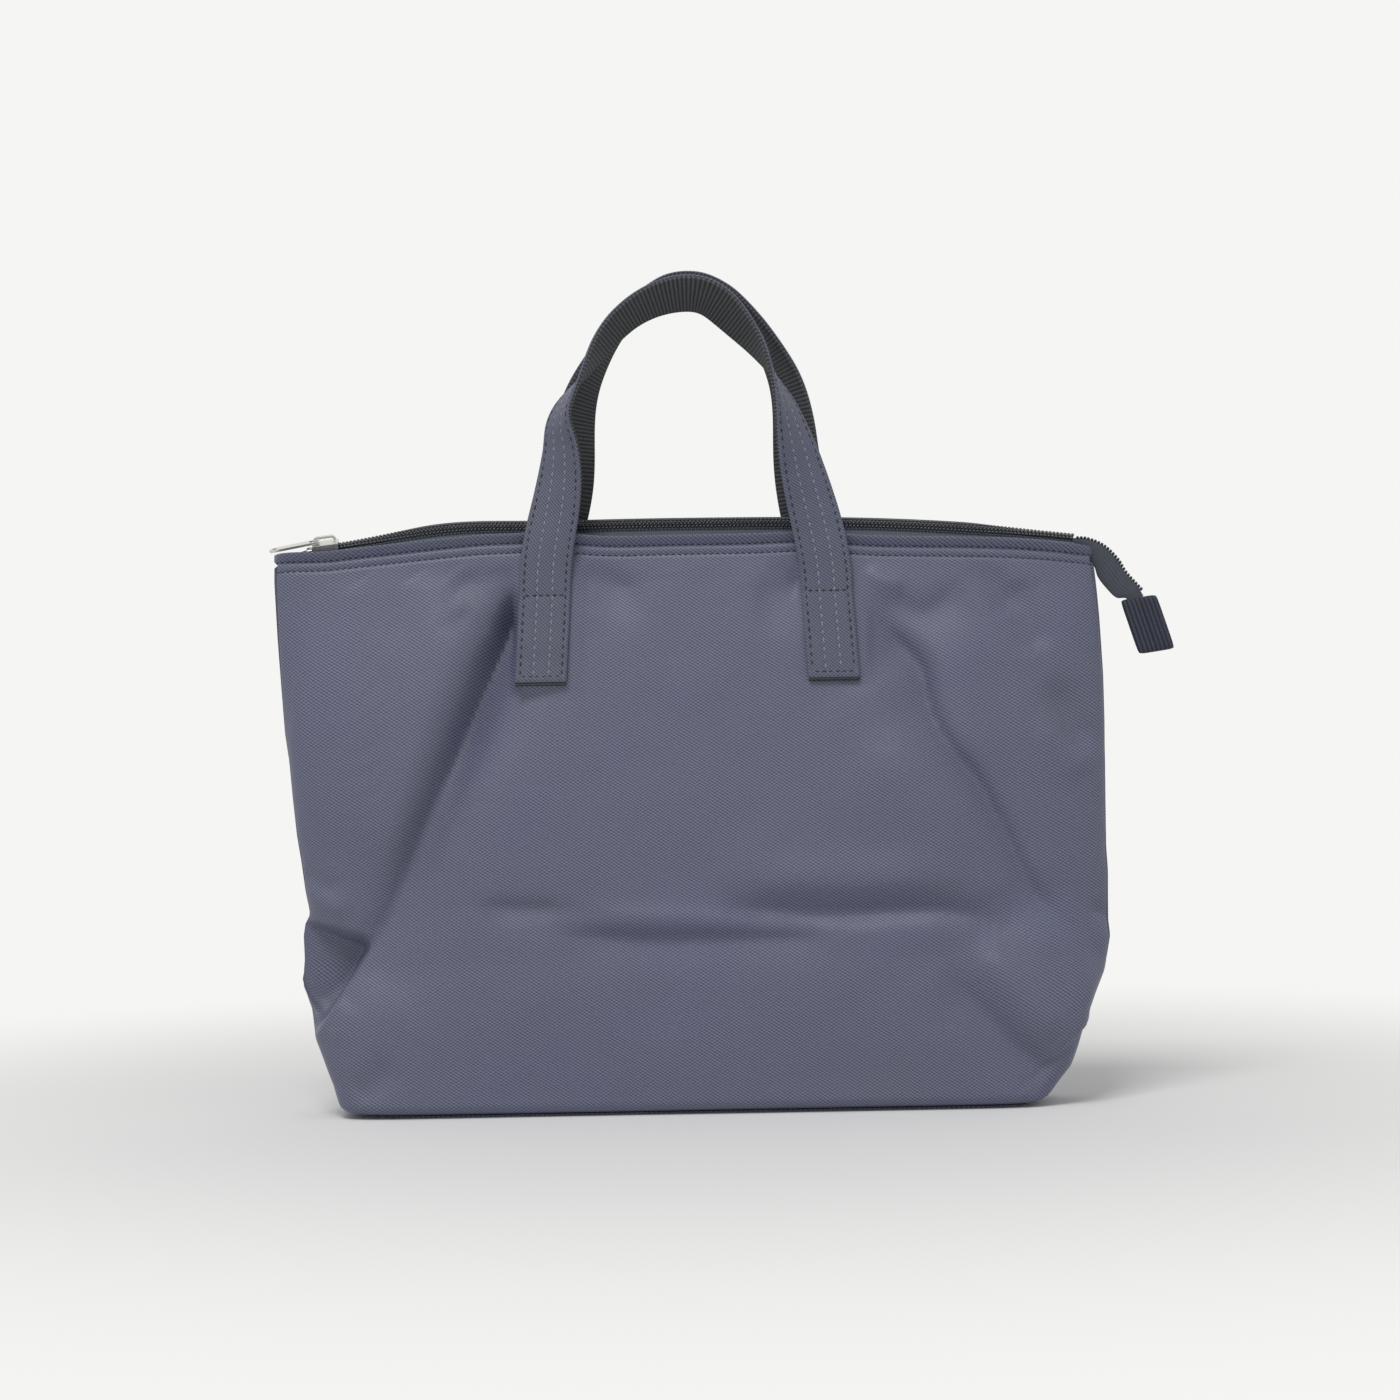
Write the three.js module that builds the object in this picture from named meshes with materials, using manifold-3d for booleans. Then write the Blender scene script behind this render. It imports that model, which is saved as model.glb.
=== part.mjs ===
// Zipped tote bag in coated twill, standing on its base with both handles up.
// Millimetres, +Z up, +X to the wearer's right of the front face, front face towards -Y.
// The origin is the middle of the underside of the base.
import * as THREE from 'three';
import { mergeVertices } from 'three/addons/utils/BufferGeometryUtils.js';
import Module from 'manifold-3d';

// Clearances
const layerGap = 0.3;
const slidingGap = 0.35;

// Bag body
const baseLength = 350;
const baseDepth = 60;
const bodyWidth = 401;
const mouthWidth = 408;
const mouthDepth = 24;
const bagHeight = 288;
const gussetHeight = 80;
const baseEdgeRadius = 8;
const clothThickness = 1.2;

// Zip, laid on an arc that rises from both corners to the middle
const zipEndInset = 9;
const zipRise = 12;
const zipAboveHem = 9;
const chainWidth = 6;
const chainHeight = 2.6;
const chainSplit = 1;
const chainTilt = THREE.MathUtils.degToRad(20);
const tapeThickness = 0.6;
const tapeShoulder = 6.2;
const tapeSewnDepth = 9;
const facingDepth = 13;
const facingThickness = 0.8;
const facingEndInset = 10;

// Slider and pull
const sliderLength = 13;
const sliderWidth = 9.2;
const sliderPlate = 1.2;
const sliderFlange = 1.2;
const sliderPost = 0.3;
const stopLength = 3;
const bridgeWidth = 2;
const bridgeBar = 1.2;
const bridgeSlot = 2.4;
const bridgeReach = 7;
const pullLength = 25;
const pullWidth = 5.6;
const pullThickness = 1.2;
const pullEyeLength = 3.6;
const pullTipHole = 2.4;
const pullDroop = THREE.MathUtils.degToRad(4);

// Zip tail and its end tab
const tailTapeThickness = 1.8;
const tabWidth = 19;
const tabLength = 29;
const tabThickness = 5.2;
const tabLean = THREE.MathUtils.degToRad(18);
const tabTopX = 20;
const tabDrop = 31;
const tabPocketDepth = 7;
const tabPocketWidth = 13;

// Handles
const handleSpacing = 144;
const frontHandleRise = 150;
const backHandleRise = 157.5;
const strapWidth = 26;
const webbingThickness = 1.8;
const strapCoverThickness = 0.9;
const sewnEndDrop = 29;
const sewnEndLength = 45;
const hingeGap = 0.5;
const frontTopTilt = THREE.MathUtils.degToRad(125);
const backTopTilt = THREE.MathUtils.degToRad(55);
const twistSpan = THREE.MathUtils.degToRad(66);
const frontLegTuck = 2;
const backLegTuck = 6;
const legTuckShare = 0.72;
const strapApexY = 14;

// Seam bindings
const bindingWidth = 8;
const bindingThickness = 1.6;
const bindingEndInset = 22;
const bindingSeat = 0.8;

const wasm = await Module();
wasm.setup();

const lerp = THREE.MathUtils.lerp;
const clamp = THREE.MathUtils.clamp;
const smooth = (x) => THREE.MathUtils.smoothstep(x, 0, 1);
const zipLength = mouthWidth - 2 * zipEndInset;
const zipRadius = ((zipLength / 2) ** 2 + zipRise ** 2) / (2 * zipRise);
const zipTop = bagHeight + zipAboveHem;
const zipCentreZ = zipTop - zipRadius;
const sewnEndTop = bagHeight - sewnEndDrop;

// How far the zip arc has dropped at a distance x from the middle.
function arcDrop(x) {
  return zipRadius - Math.sqrt(zipRadius ** 2 - x ** 2);
}

// Body section at a height: |x / halfWidth|^p + |y / halfDepth|^q = 1.
// A rounded rectangle at the base closes to a lens at the side seams and a slot at the mouth.
function bodySection(height) {
  const boxed = 1 - smooth(height / gussetHeight);
  const slot = smooth((height - gussetHeight) / (bagHeight - gussetHeight));
  const flare = Math.sin(Math.min(height / gussetHeight, 1) * Math.PI / 2);
  const fall = Math.cos((height / bagHeight) ** 1.6 * Math.PI / 2);
  const under = Math.max(baseEdgeRadius - height, 0);
  const turn = baseEdgeRadius - Math.sqrt(baseEdgeRadius ** 2 - under ** 2);
  const width = lerp(lerp(baseLength, bodyWidth, flare), mouthWidth, slot);
  return {
    a: width / 2 - turn,
    b: lerp(mouthDepth, baseDepth, fall) / 2 - turn,
    p: lerp(3, 14, boxed) + 3 * slot,
    q: lerp(2.4, 6, boxed) + 0.6 * slot,
  };
}

// Points from the left seam round the front to the right seam, closest together at the seams.
function sectionRing(height, count) {
  const { a, b, p, q } = bodySection(height);
  const steps = 400;
  const dense = [];
  for (let i = 0; i <= steps; i += 1) {
    const turn = Math.PI * i / steps;
    const x = -Math.sign(Math.cos(turn)) * a * Math.abs(Math.cos(turn)) ** (2 / p);
    dense.push(new THREE.Vector2(x, -b * Math.sin(turn) ** (2 / q)));
  }
  const lengths = [0];
  for (let i = 1; i <= steps; i += 1) {
    lengths.push(lengths[i - 1] + dense[i].distanceTo(dense[i - 1]));
  }
  const start = layerGap / 2;
  const span = lengths[steps] - 2 * start;
  const ring = [];
  let k = 1;
  for (let i = 0; i <= count; i += 1) {
    const even = i / count;
    const target = start + span * (even - 0.1 * Math.sin(2 * Math.PI * even));
    while (k < steps && lengths[k] < target) {
      k += 1;
    }
    const part = (target - lengths[k - 1]) / (lengths[k] - lengths[k - 1]);
    ring.push(dense[k - 1].clone().lerp(dense[k], part));
  }
  return ring;
}

// Outer face of the front at a given x and z, with its outward normal.
function frontFace(x, z) {
  const { a, b, p, q } = bodySection(z / (bagHeight - arcDrop(x)) * bagHeight);
  return -b * Math.max(1 - Math.abs(x / a) ** p, 0) ** (1 / q);
}

function frontOffset(x, z, outwards) {
  const step = 0.5;
  const slopeX = (frontFace(x + step, z) - frontFace(x - step, z)) / (2 * step);
  const slopeZ = (frontFace(x, z + step) - frontFace(x, z - step)) / (2 * step);
  const normal = new THREE.Vector3(slopeX, -1, slopeZ).normalize();
  return new THREE.Vector3(x, frontFace(x, z), z).addScaledVector(normal, outwards);
}

// Keeps a geometry's positions only, with shared corners merged and faces outwards.
function closedBody(geometry) {
  geometry.deleteAttribute('normal');
  geometry.deleteAttribute('uv');
  const merged = mergeVertices(geometry, 1e-4);
  const at = merged.attributes.position;
  const index = merged.index.array;
  const [p, q, r] = [0, 1, 2].map(() => new THREE.Vector3());
  let volume = 0;
  for (let i = 0; i < index.length; i += 3) {
    p.fromBufferAttribute(at, index[i]);
    q.fromBufferAttribute(at, index[i + 1]);
    r.fromBufferAttribute(at, index[i + 2]);
    volume += p.dot(q.cross(r));
  }
  if (volume < 0) {
    for (let i = 0; i < index.length; i += 3) {
      [index[i], index[i + 1]] = [index[i + 1], index[i]];
    }
  }
  merged.computeVertexNormals();
  return merged;
}

// A sheet of cloth: a box whose width, length and thickness are each placed by a function of 0 to 1.
function sheet(across, along, place) {
  const box = new THREE.BoxGeometry(1, 1, 1, across, along, 1);
  const at = box.attributes.position;
  for (let i = 0; i < at.count; i += 1) {
    const corner = place(at.getX(i) + 0.5, at.getY(i) + 0.5, at.getZ(i) + 0.5);
    at.setXYZ(i, corner.x, corner.y, corner.z);
  }
  return closedBody(box);
}

function mirrored(geometry, x, y) {
  return closedBody(geometry.clone().scale(x, y, 1));
}

function toSolid(geometry) {
  const closed = closedBody(geometry);
  return new wasm.Manifold(new wasm.Mesh({
    numProp: 3,
    vertProperties: closed.attributes.position.array,
    triVerts: new Uint32Array(closed.index.array),
  }));
}

function fromSolid(solid) {
  const mesh = solid.getMesh();
  const geometry = new THREE.BufferGeometry();
  geometry.setAttribute('position', new THREE.BufferAttribute(mesh.vertProperties, 3));
  geometry.setIndex(new THREE.BufferAttribute(mesh.triVerts, 1));
  return closedBody(geometry);
}

const panelColumns = 28;
const bag = new THREE.Group();
const cloth = { color: 0x4b4e62, roughness: 0.55, metalness: 0 };
const clothInside = { color: 0x2f323b, roughness: 0.8, metalness: 0 };
const tapeCloth = { color: 0x3c414b, roughness: 0.85, metalness: 0 };
const blackWebbing = { color: 0x24282b, roughness: 0.8, metalness: 0 };
const blackNylon = { color: 0x1d2023, roughness: 0.45, metalness: 0 };
const plated = { color: 0xc9c7c2, roughness: 0.25, metalness: 1 };

function add(name, geometry, finish, parent = bag) {
  const mesh = new THREE.Mesh(geometry, new THREE.MeshStandardMaterial(finish));
  mesh.name = name;
  parent.add(mesh);
  return mesh;
}

// Front and back panels: one cloth shell each, from the base turn up to the hem.
function panelGeometry() {
  const columns = panelColumns;
  const turnRows = 3;
  const rows = 14;
  const heights = [];
  for (let j = 0; j < turnRows; j += 1) {
    heights.push(baseEdgeRadius * (1 - Math.cos(j / turnRows * Math.PI / 2)));
  }
  for (let j = 0; j <= rows; j += 1) {
    heights.push(lerp(baseEdgeRadius, bagHeight, j / rows));
  }
  const grid = heights.map((height) => sectionRing(height, columns).map((point) => {
    const z = height / bagHeight * (bagHeight - arcDrop(point.x));
    return new THREE.Vector3(point.x, point.y, z);
  }));
  const last = heights.length - 1;
  const normalAt = (i, j) => {
    const left = grid[j][Math.max(i - 1, 0)];
    const right = grid[j][Math.min(i + 1, columns)];
    const below = grid[Math.max(j - 1, 0)][i];
    const above = grid[Math.min(j + 1, last)][i];
    const normal = right.clone().sub(left).cross(above.clone().sub(below));
    if (i === 0 || i === columns) {
      normal.y = 0;
    }
    if (j === 0) {
      normal.set(0, 0, -1);
    }
    return normal.normalize();
  };
  return sheet(columns, last, (u, v, w) => {
    const i = Math.round(u * columns);
    const j = Math.round(v * last);
    return grid[j][i].clone().addScaledVector(normalAt(i, j), -clothThickness * (1 - w));
  });
}

const panel = panelGeometry();
add('front_panel', panel, cloth);
add('back_panel', mirrored(panel, 1, -1), cloth);

// Base panel, let into the turned edges of the front and back.
function basePanelGeometry() {
  const { a, b } = bodySection(0);
  const ring = sectionRing(0, panelColumns);
  return sheet(panelColumns, 1, (u, v, w) => {
    const edge = ring[Math.round(u * panelColumns)];
    const x = edge.x * (a - layerGap) / a;
    const y = edge.y * (b - layerGap) / b;
    return new THREE.Vector3(x, lerp(y, -y, v), clothThickness * w);
  });
}

add('base_panel', basePanelGeometry(), cloth);

// Bound seams inside: four round the base panel, one up each side.
const baseSection = bodySection(0);
const baseBindingZ = clothThickness + layerGap + bindingThickness / 2;

function baseBinding(name, length, x, y, turn) {
  const strip = closedBody(new THREE.BoxGeometry(length, bindingWidth, bindingThickness));
  const mesh = add(name, strip, blackWebbing);
  mesh.position.set(x, y, baseBindingZ);
  mesh.rotation.z = turn;
}

const longSeamY = baseSection.b - bindingWidth;
const shortSeamX = baseSection.a - bindingEndInset + bindingWidth;
baseBinding('base_seam_binding_front', 2 * (shortSeamX - bindingWidth), 0, -longSeamY, 0);
baseBinding('base_seam_binding_back', 2 * (shortSeamX - bindingWidth), 0, longSeamY, 0);
baseBinding('base_seam_binding_left', 2 * longSeamY, -shortSeamX, 0, Math.PI / 2);
baseBinding('base_seam_binding_right', 2 * longSeamY, shortSeamX, 0, Math.PI / 2);

function sideBindingGeometry() {
  const bottom = baseEdgeRadius + bindingThickness;
  const top = bagHeight - arcDrop(mouthWidth / 2) - facingDepth;
  return sheet(1, 24, (u, v, w) => {
    const z = lerp(bottom, top, v);
    const height = z / (bagHeight - arcDrop(mouthWidth / 2)) * bagHeight;
    const outer = bodySection(height).a - clothThickness - bindingSeat;
    return new THREE.Vector3(outer - bindingWidth * u, bindingThickness * (w - 0.5), z);
  });
}

const sideBinding = sideBindingGeometry();
add('right_side_seam_binding', sideBinding, blackWebbing);
add('left_side_seam_binding', mirrored(sideBinding, -1, 1), blackWebbing);

// Everything on the zip is placed by its distance along the arc and its section,
// e across the chain and n up out of it.
function onZip(along, e, n) {
  const y = e * Math.cos(chainTilt) - n * Math.sin(chainTilt);
  const radius = zipRadius + e * Math.sin(chainTilt) + n * Math.cos(chainTilt);
  const angle = along / zipRadius;
  return new THREE.Vector3(radius * Math.sin(angle), y, zipCentreZ + radius * Math.cos(angle));
}

// Zip tapes: sewn behind the hem, up to the shoulder, then flat under the chain.
const tapeN = -chainHeight / 2 - layerGap - tapeThickness / 2;
const tapeInset = clothThickness + layerGap + tapeThickness / 2;

function tapeGeometry(side) {
  const rows = 6;
  const sewnRows = 2;
  return sheet(28, rows, (u, v, w) => {
    const along = (u - 0.5) * zipLength;
    const row = Math.round(v * rows);
    const skin = tapeThickness * (w - 0.5);
    const x = zipRadius * Math.sin(along / zipRadius);
    const hem = bagHeight - arcDrop(x);
    if (row <= sewnRows) {
      const z = hem - tapeSewnDepth * (1 - row / sewnRows);
      const point = frontOffset(x, z - layerGap, -tapeInset + skin);
      point.y *= -side;
      return point;
    }
    const shoulder = onZip(along, side * tapeShoulder, tapeN + skin);
    if (row === rows) {
      return onZip(along, side * chainSplit / 2, tapeN + skin);
    }
    if (row === rows - 1) {
      return shoulder;
    }
    const sewn = frontOffset(x, hem - layerGap, -tapeInset + skin);
    sewn.y *= -side;
    const rise = (row - sewnRows) / (rows - 1 - sewnRows);
    const point = sewn.lerp(shoulder, rise);
    point.y += side * 1.6 * Math.sin(rise * Math.PI);
    return point;
  });
}

add('front_zip_tape', tapeGeometry(-1), tapeCloth);
add('back_zip_tape', tapeGeometry(1), tapeCloth);

// Hem facings close the mouth edge behind the tapes.
function facingGeometry() {
  const halfSpan = zipLength / 2 - facingEndInset;
  const outer = clothThickness + tapeThickness + 2 * layerGap;
  return sheet(28, 2, (u, v, w) => {
    const x = (2 * u - 1) * halfSpan;
    const z = bagHeight - arcDrop(x) - layerGap - facingDepth * (1 - v);
    return frontOffset(x, z, -outer - facingThickness * (1 - w));
  });
}

const facing = facingGeometry();
add('front_hem_facing', facing, clothInside);
add('back_hem_facing', mirrored(facing, 1, -1), clothInside);

// Coils, one per tape, ending at the stops.
const coilEnd = zipLength / 2;
const coilStart = -coilEnd + stopLength + layerGap;

function coilGeometry(side, from, to, steps) {
  const half = chainHeight / 2;
  return sheet(steps, 1, (u, v, w) => {
    const e = side * lerp(chainSplit / 2, chainWidth / 2, v);
    const edge = v === 0 ? half : half * 0.6;
    return onZip(lerp(from, to, u), e, edge * (2 * w - 1));
  });
}

add('front_zip_coil', coilGeometry(-1, coilStart, coilEnd, 36), blackNylon);
add('back_zip_coil', coilGeometry(1, coilStart, coilEnd, 36), blackNylon);
add('front_top_stop', coilGeometry(-1, -coilEnd, -coilEnd + stopLength, 1), plated);
add('back_top_stop', coilGeometry(1, -coilEnd, -coilEnd + stopLength, 1), plated);

// Slider: two plates joined by the post between the coils, with side flanges over the tapes.
const sliderTop = chainHeight / 2 + slidingGap + sliderPlate;
const sliderStart = coilStart + sliderLength / 2;
const bridgeN = sliderTop + bridgeSlot / 2;

function sliderGeometry() {
  const halfWidth = sliderWidth / 2;
  const ceiling = chainHeight / 2 + slidingGap;
  const floor = tapeN - tapeThickness / 2 - slidingGap;
  const flangeFoot = tapeN + tapeThickness / 2 + slidingGap;
  const flangeIn = halfWidth - sliderFlange;
  const right = [
    [sliderPost / 2, floor], [halfWidth, floor], [halfWidth, floor - sliderPlate],
  ];
  const upper = [
    [halfWidth, sliderTop], [halfWidth, flangeFoot], [flangeIn, flangeFoot],
    [flangeIn, ceiling], [sliderPost / 2, ceiling],
  ];
  const half = [...upper, ...right];
  const other = half.map(([e, n]) => [-e, n]).reverse();
  const outline = new THREE.Shape([...half, ...other].map(([e, n]) => new THREE.Vector2(e, n)));
  const body = new THREE.ExtrudeGeometry(outline, { depth: sliderLength, bevelEnabled: false });
  body.translate(0, 0, -sliderLength / 2);

  const slotRadius = bridgeSlot / 2;
  const barRadius = slotRadius + bridgeBar;
  const pillar = (radius, direction) => {
    const path = direction > 0 ? new THREE.Shape() : new THREE.Path();
    path.absarc(-bridgeReach / 2, 0, radius, Math.PI / 2, 3 * Math.PI / 2, false);
    path.absarc(bridgeReach / 2, 0, radius, -Math.PI / 2, Math.PI / 2, false);
    return path;
  };
  const loop = pillar(barRadius, 1);
  loop.holes.push(pillar(slotRadius, -1));
  const options = { depth: bridgeWidth, bevelEnabled: false, curveSegments: 10 };
  const bridge = new THREE.ExtrudeGeometry(loop, options);
  bridge.translate(0, 0, -bridgeWidth / 2);
  bridge.rotateY(-Math.PI / 2);
  bridge.translate(0, bridgeN, 0);
  return fromSolid(toSolid(body).add(toSolid(bridge)));
}

// A group on the arc: its local X runs across the chain, Y out of it and Z along it to the right.
function zipGroup(along) {
  const group = new THREE.Group();
  const across = onZip(along, 1, 0).sub(onZip(along, 0, 0));
  const out = onZip(along, 0, 1).sub(onZip(along, 0, 0));
  const onwards = new THREE.Vector3().crossVectors(across, out);
  group.quaternion.setFromRotationMatrix(new THREE.Matrix4().makeBasis(across, out, onwards));
  group.position.copy(onZip(along, 0, 0));
  bag.add(group);
  return group;
}

const sliderGroup = zipGroup(sliderStart);
add('zip_slider', sliderGeometry(), plated, sliderGroup);

// Pull: a flat bar with an eye round the bridge and a small hole in its tip.
function pullGeometry() {
  const halfWidth = pullWidth / 2;
  const half = pullThickness / 2;
  const outline = new THREE.Shape();
  outline.moveTo(-halfWidth, -half);
  outline.lineTo(halfWidth, -half);
  outline.lineTo(halfWidth * 0.8, pullLength - halfWidth);
  outline.absarc(0, pullLength - halfWidth * 0.8, halfWidth * 0.8, 0, Math.PI, false);
  outline.lineTo(-halfWidth, -half);
  const eyeHalf = bridgeWidth / 2 + slidingGap;
  const eye = new THREE.Path();
  eye.moveTo(-eyeHalf, half);
  eye.lineTo(-eyeHalf, half + pullEyeLength);
  eye.lineTo(eyeHalf, half + pullEyeLength);
  eye.lineTo(eyeHalf, half);
  eye.lineTo(-eyeHalf, half);
  const tip = new THREE.Path();
  tip.absarc(0, pullLength - halfWidth, pullTipHole / 2, 0, 2 * Math.PI, true);
  outline.holes.push(eye, tip);
  const options = { depth: pullThickness, bevelEnabled: false, curveSegments: 10 };
  const bar = new THREE.ExtrudeGeometry(outline, options);
  bar.translate(0, 0, -half);
  return closedBody(bar);
}

const pullMesh = add('zip_pull', pullGeometry(), plated, sliderGroup);
pullMesh.position.set(0, bridgeN, -bridgeReach / 2);
pullMesh.rotation.x = -Math.PI / 2 - pullDroop;

// Zip tail: both tapes folded together under the chain, drooping past the right corner.
const tailStart = onZip(zipLength / 2 + 2 * layerGap, 0, 0);
const tabTop = new THREE.Vector2(tailStart.x + tabTopX + tabWidth * 0.35, tailStart.z - tabDrop);

function tabPoint(across, down) {
  const cos = Math.cos(tabLean);
  const sin = Math.sin(tabLean);
  return new THREE.Vector2(tabTop.x + across * cos + down * sin, tabTop.y + across * sin - down * cos);
}

const pocketSide = tabPocketWidth / 2;
const tongueSide = pocketSide - layerGap;
const tongueEnd = tabPocketDepth - layerGap;

function tailCurve(points) {
  return new THREE.SplineCurve(points.map(([x, z]) => new THREE.Vector2(x, z)));
}

const coilInset = 1.2;
const coilLast = tabPoint(tongueSide - coilInset, -layerGap - 1);
const tailUpper = tailCurve([
  [tailStart.x, tailStart.z],
  [tailStart.x + 6, tailStart.z - 0.8],
  [tailStart.x + 12.5, tailStart.z - 4.8],
  [tailStart.x + 18.5, tailStart.z - 11.5],
  [tailStart.x + 23, tailStart.z - 18.5],
  [coilLast.x, coilLast.y],
]);

function tailTapeGeometry() {
  const seat = chainHeight / 2 + layerGap;
  const outline = [];
  const upperSteps = 12;
  for (let i = 0; i <= upperSteps; i += 1) {
    const at = tailUpper.getPoint(i / upperSteps);
    const heading = tailUpper.getTangent(i / upperSteps);
    outline.push(new THREE.Vector2(at.x + heading.y * seat, at.y - heading.x * seat));
  }
  outline.push(tabPoint(tongueSide, 0.5), tabPoint(tongueSide, tongueEnd));
  outline.push(tabPoint(-tongueSide, tongueEnd), tabPoint(-tongueSide, -1));
  const mouthSideX = mouthWidth / 2;
  const hemCorner = bagHeight - arcDrop(mouthSideX);
  outline.push(new THREE.Vector2(mouthSideX + 6.5, hemCorner - 13.5));
  outline.push(new THREE.Vector2(mouthSideX + 2.2, hemCorner - 7));
  outline.push(new THREE.Vector2(mouthSideX + 1, hemCorner - 2));
  outline.push(new THREE.Vector2(mouthSideX + layerGap, hemCorner + layerGap + 0.2));
  const inner = tailStart.x;
  outline.push(new THREE.Vector2(inner, bagHeight - arcDrop(inner) + layerGap + 0.2));
  const options = { depth: tailTapeThickness, bevelEnabled: false };
  const slab = new THREE.ExtrudeGeometry(new THREE.Shape(outline), options);
  slab.rotateX(Math.PI / 2);
  slab.translate(0, tailTapeThickness / 2, 0);
  return closedBody(slab);
}

function tailCoilGeometry() {
  const halfWidth = chainWidth / 2;
  const half = chainHeight / 2;
  const steps = 24;
  return sheet(1, steps, (u, v, w) => {
    const at = tailUpper.getPoint(v);
    const heading = tailUpper.getTangent(v);
    const out = (w - 0.5) * 2 * half;
    const y = (u - 0.5) * 2 * halfWidth;
    return new THREE.Vector3(at.x - heading.y * out, y, at.y + heading.x * out);
  });
}

function tabGeometry() {
  const corner = 2;
  const half = tabWidth / 2 - corner;
  const outline = new THREE.Shape();
  outline.absarc(half, corner, corner, -Math.PI / 2, 0, false);
  outline.absarc(half, tabLength - corner, corner, 0, Math.PI / 2, false);
  outline.absarc(-half, tabLength - corner, corner, Math.PI / 2, Math.PI, false);
  outline.absarc(-half, corner, corner, Math.PI, 3 * Math.PI / 2, false);
  const options = { depth: tabThickness, bevelEnabled: false, curveSegments: 5 };
  const body = new THREE.ExtrudeGeometry(outline, options);
  body.translate(0, 0, -tabThickness / 2);
  const pocketThickness = tailTapeThickness + 2 * layerGap;
  const pocketCut = new THREE.BoxGeometry(2 * pocketSide, 2 * tabPocketDepth, pocketThickness);
  const tab = fromSolid(toSolid(body).subtract(toSolid(pocketCut)));
  tab.rotateX(-Math.PI / 2);
  return tab;
}

add('zip_tail_tape', tailTapeGeometry(), tapeCloth);
add('zip_tail_coil', tailCoilGeometry(), blackNylon);
const tabMesh = add('zip_tail_tab', tabGeometry(), blackWebbing);
tabMesh.position.set(tabTop.x, 0, tabTop.y);
tabMesh.rotation.y = -tabLean;

// Handles: webbing faced with cloth. The loop stands on the line where its ends are sewn down.
const strapThickness = webbingThickness + layerGap + strapCoverThickness;
const legX = handleSpacing / 2;
const hingeZ = frontOffset(legX, sewnEndTop, layerGap + strapThickness).z + hingeGap;
const legY = frontOffset(legX, sewnEndTop, layerGap + strapThickness / 2).y;

// The loops are half ellipses whose legs are drawn in a little. Both straps lie back at the top,
// as on a peg that slopes up towards the front, so one turns through more than a right angle.
const frontLoop = { rise: frontHandleRise, tilt: frontTopTilt, tuck: frontLegTuck };
const backLoop = { rise: backHandleRise, tilt: backTopTilt, tuck: backLegTuck };

// A point on the centre line, by the angle travelled from the left leg over the top.
function loopPoint(angle, loop) {
  const share = Math.sin(angle);
  const drawnIn = loop.tuck * Math.sin(Math.PI * clamp(share / legTuckShare, 0, 1)) ** 2;
  const side = -Math.sign(Math.cos(angle));
  const x = side * (legX * Math.abs(Math.cos(angle)) - drawnIn);
  return new THREE.Vector3(x, lerp(legY, -strapApexY, smooth(share)), hingeZ + loop.rise * share);
}

// Centre line, outward face normal and width direction of a loop in front, from left to right.
function loopFrame(t, loop) {
  const angle = Math.PI * t;
  const nudge = 0.001;
  const along = loopPoint(angle + nudge, loop).sub(loopPoint(angle - nudge, loop));
  const inward = new THREE.Vector3(along.z, 0, -along.x).normalize();
  const fromLeg = Math.min(angle, Math.PI - angle);
  const twist = loop.tilt * smooth(fromLeg / twistSpan);
  const front = new THREE.Vector3(0, -1, 0);
  const face = front.clone().multiplyScalar(Math.cos(twist)).addScaledVector(inward, -Math.sin(twist));
  const width = inward.clone().multiplyScalar(Math.cos(twist)).addScaledVector(front, Math.sin(twist));
  return { centre: loopPoint(angle, loop), face, width };
}

// The two layers run across in opposite directions, so that their facing triangles match.
function loopLayer(loop, inner, outer, direction) {
  const steps = 56;
  const strips = 6;
  return sheet(strips, steps, (u, v, w) => {
    const { centre, face, width } = loopFrame(v, loop);
    const point = centre.clone().addScaledVector(width, direction * (u - 0.5) * strapWidth);
    return point.addScaledVector(face, lerp(inner, outer, w));
  });
}

// One sewn-down strap end, following the panel under it.
function sewnEndGeometry(x) {
  return sheet(4, 6, (u, v, w) => {
    const z = sewnEndTop - sewnEndLength * (1 - v);
    return frontOffset(x + (u - 0.5) * strapWidth, z, layerGap + strapThickness * w);
  });
}

const webbingBack = -strapThickness / 2;
const webbingFront = webbingBack + webbingThickness;
const leftEnd = sewnEndGeometry(-legX);
const rightEnd = sewnEndGeometry(legX);
for (const { name, loop, side } of [
  { name: 'front_handle', loop: frontLoop, side: 1 },
  { name: 'back_handle', loop: backLoop, side: -1 },
]) {
  const webbing = loopLayer(loop, webbingBack, webbingFront, 1);
  const cover = loopLayer(loop, webbingFront + layerGap, strapThickness / 2, -1);
  const pieces = [
    ['webbing', webbing, blackWebbing],
    ['cover', cover, cloth],
    ['left_end', leftEnd, cloth],
    ['right_end', rightEnd, cloth],
  ];
  for (const [piece, geometry, finish] of pieces) {
    add(`${name}_${piece}`, side > 0 ? geometry : mirrored(geometry, 1, -1), finish);
  }
}

export default bag;
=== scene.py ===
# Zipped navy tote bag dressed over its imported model: metres, front face towards -Y.
# Sizes in the dictionaries are millimetres, and mm turns them to metres where a mesh is placed.
import math

import bpy
import numpy as np
from mathutils import Matrix, Vector, noise


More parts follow.
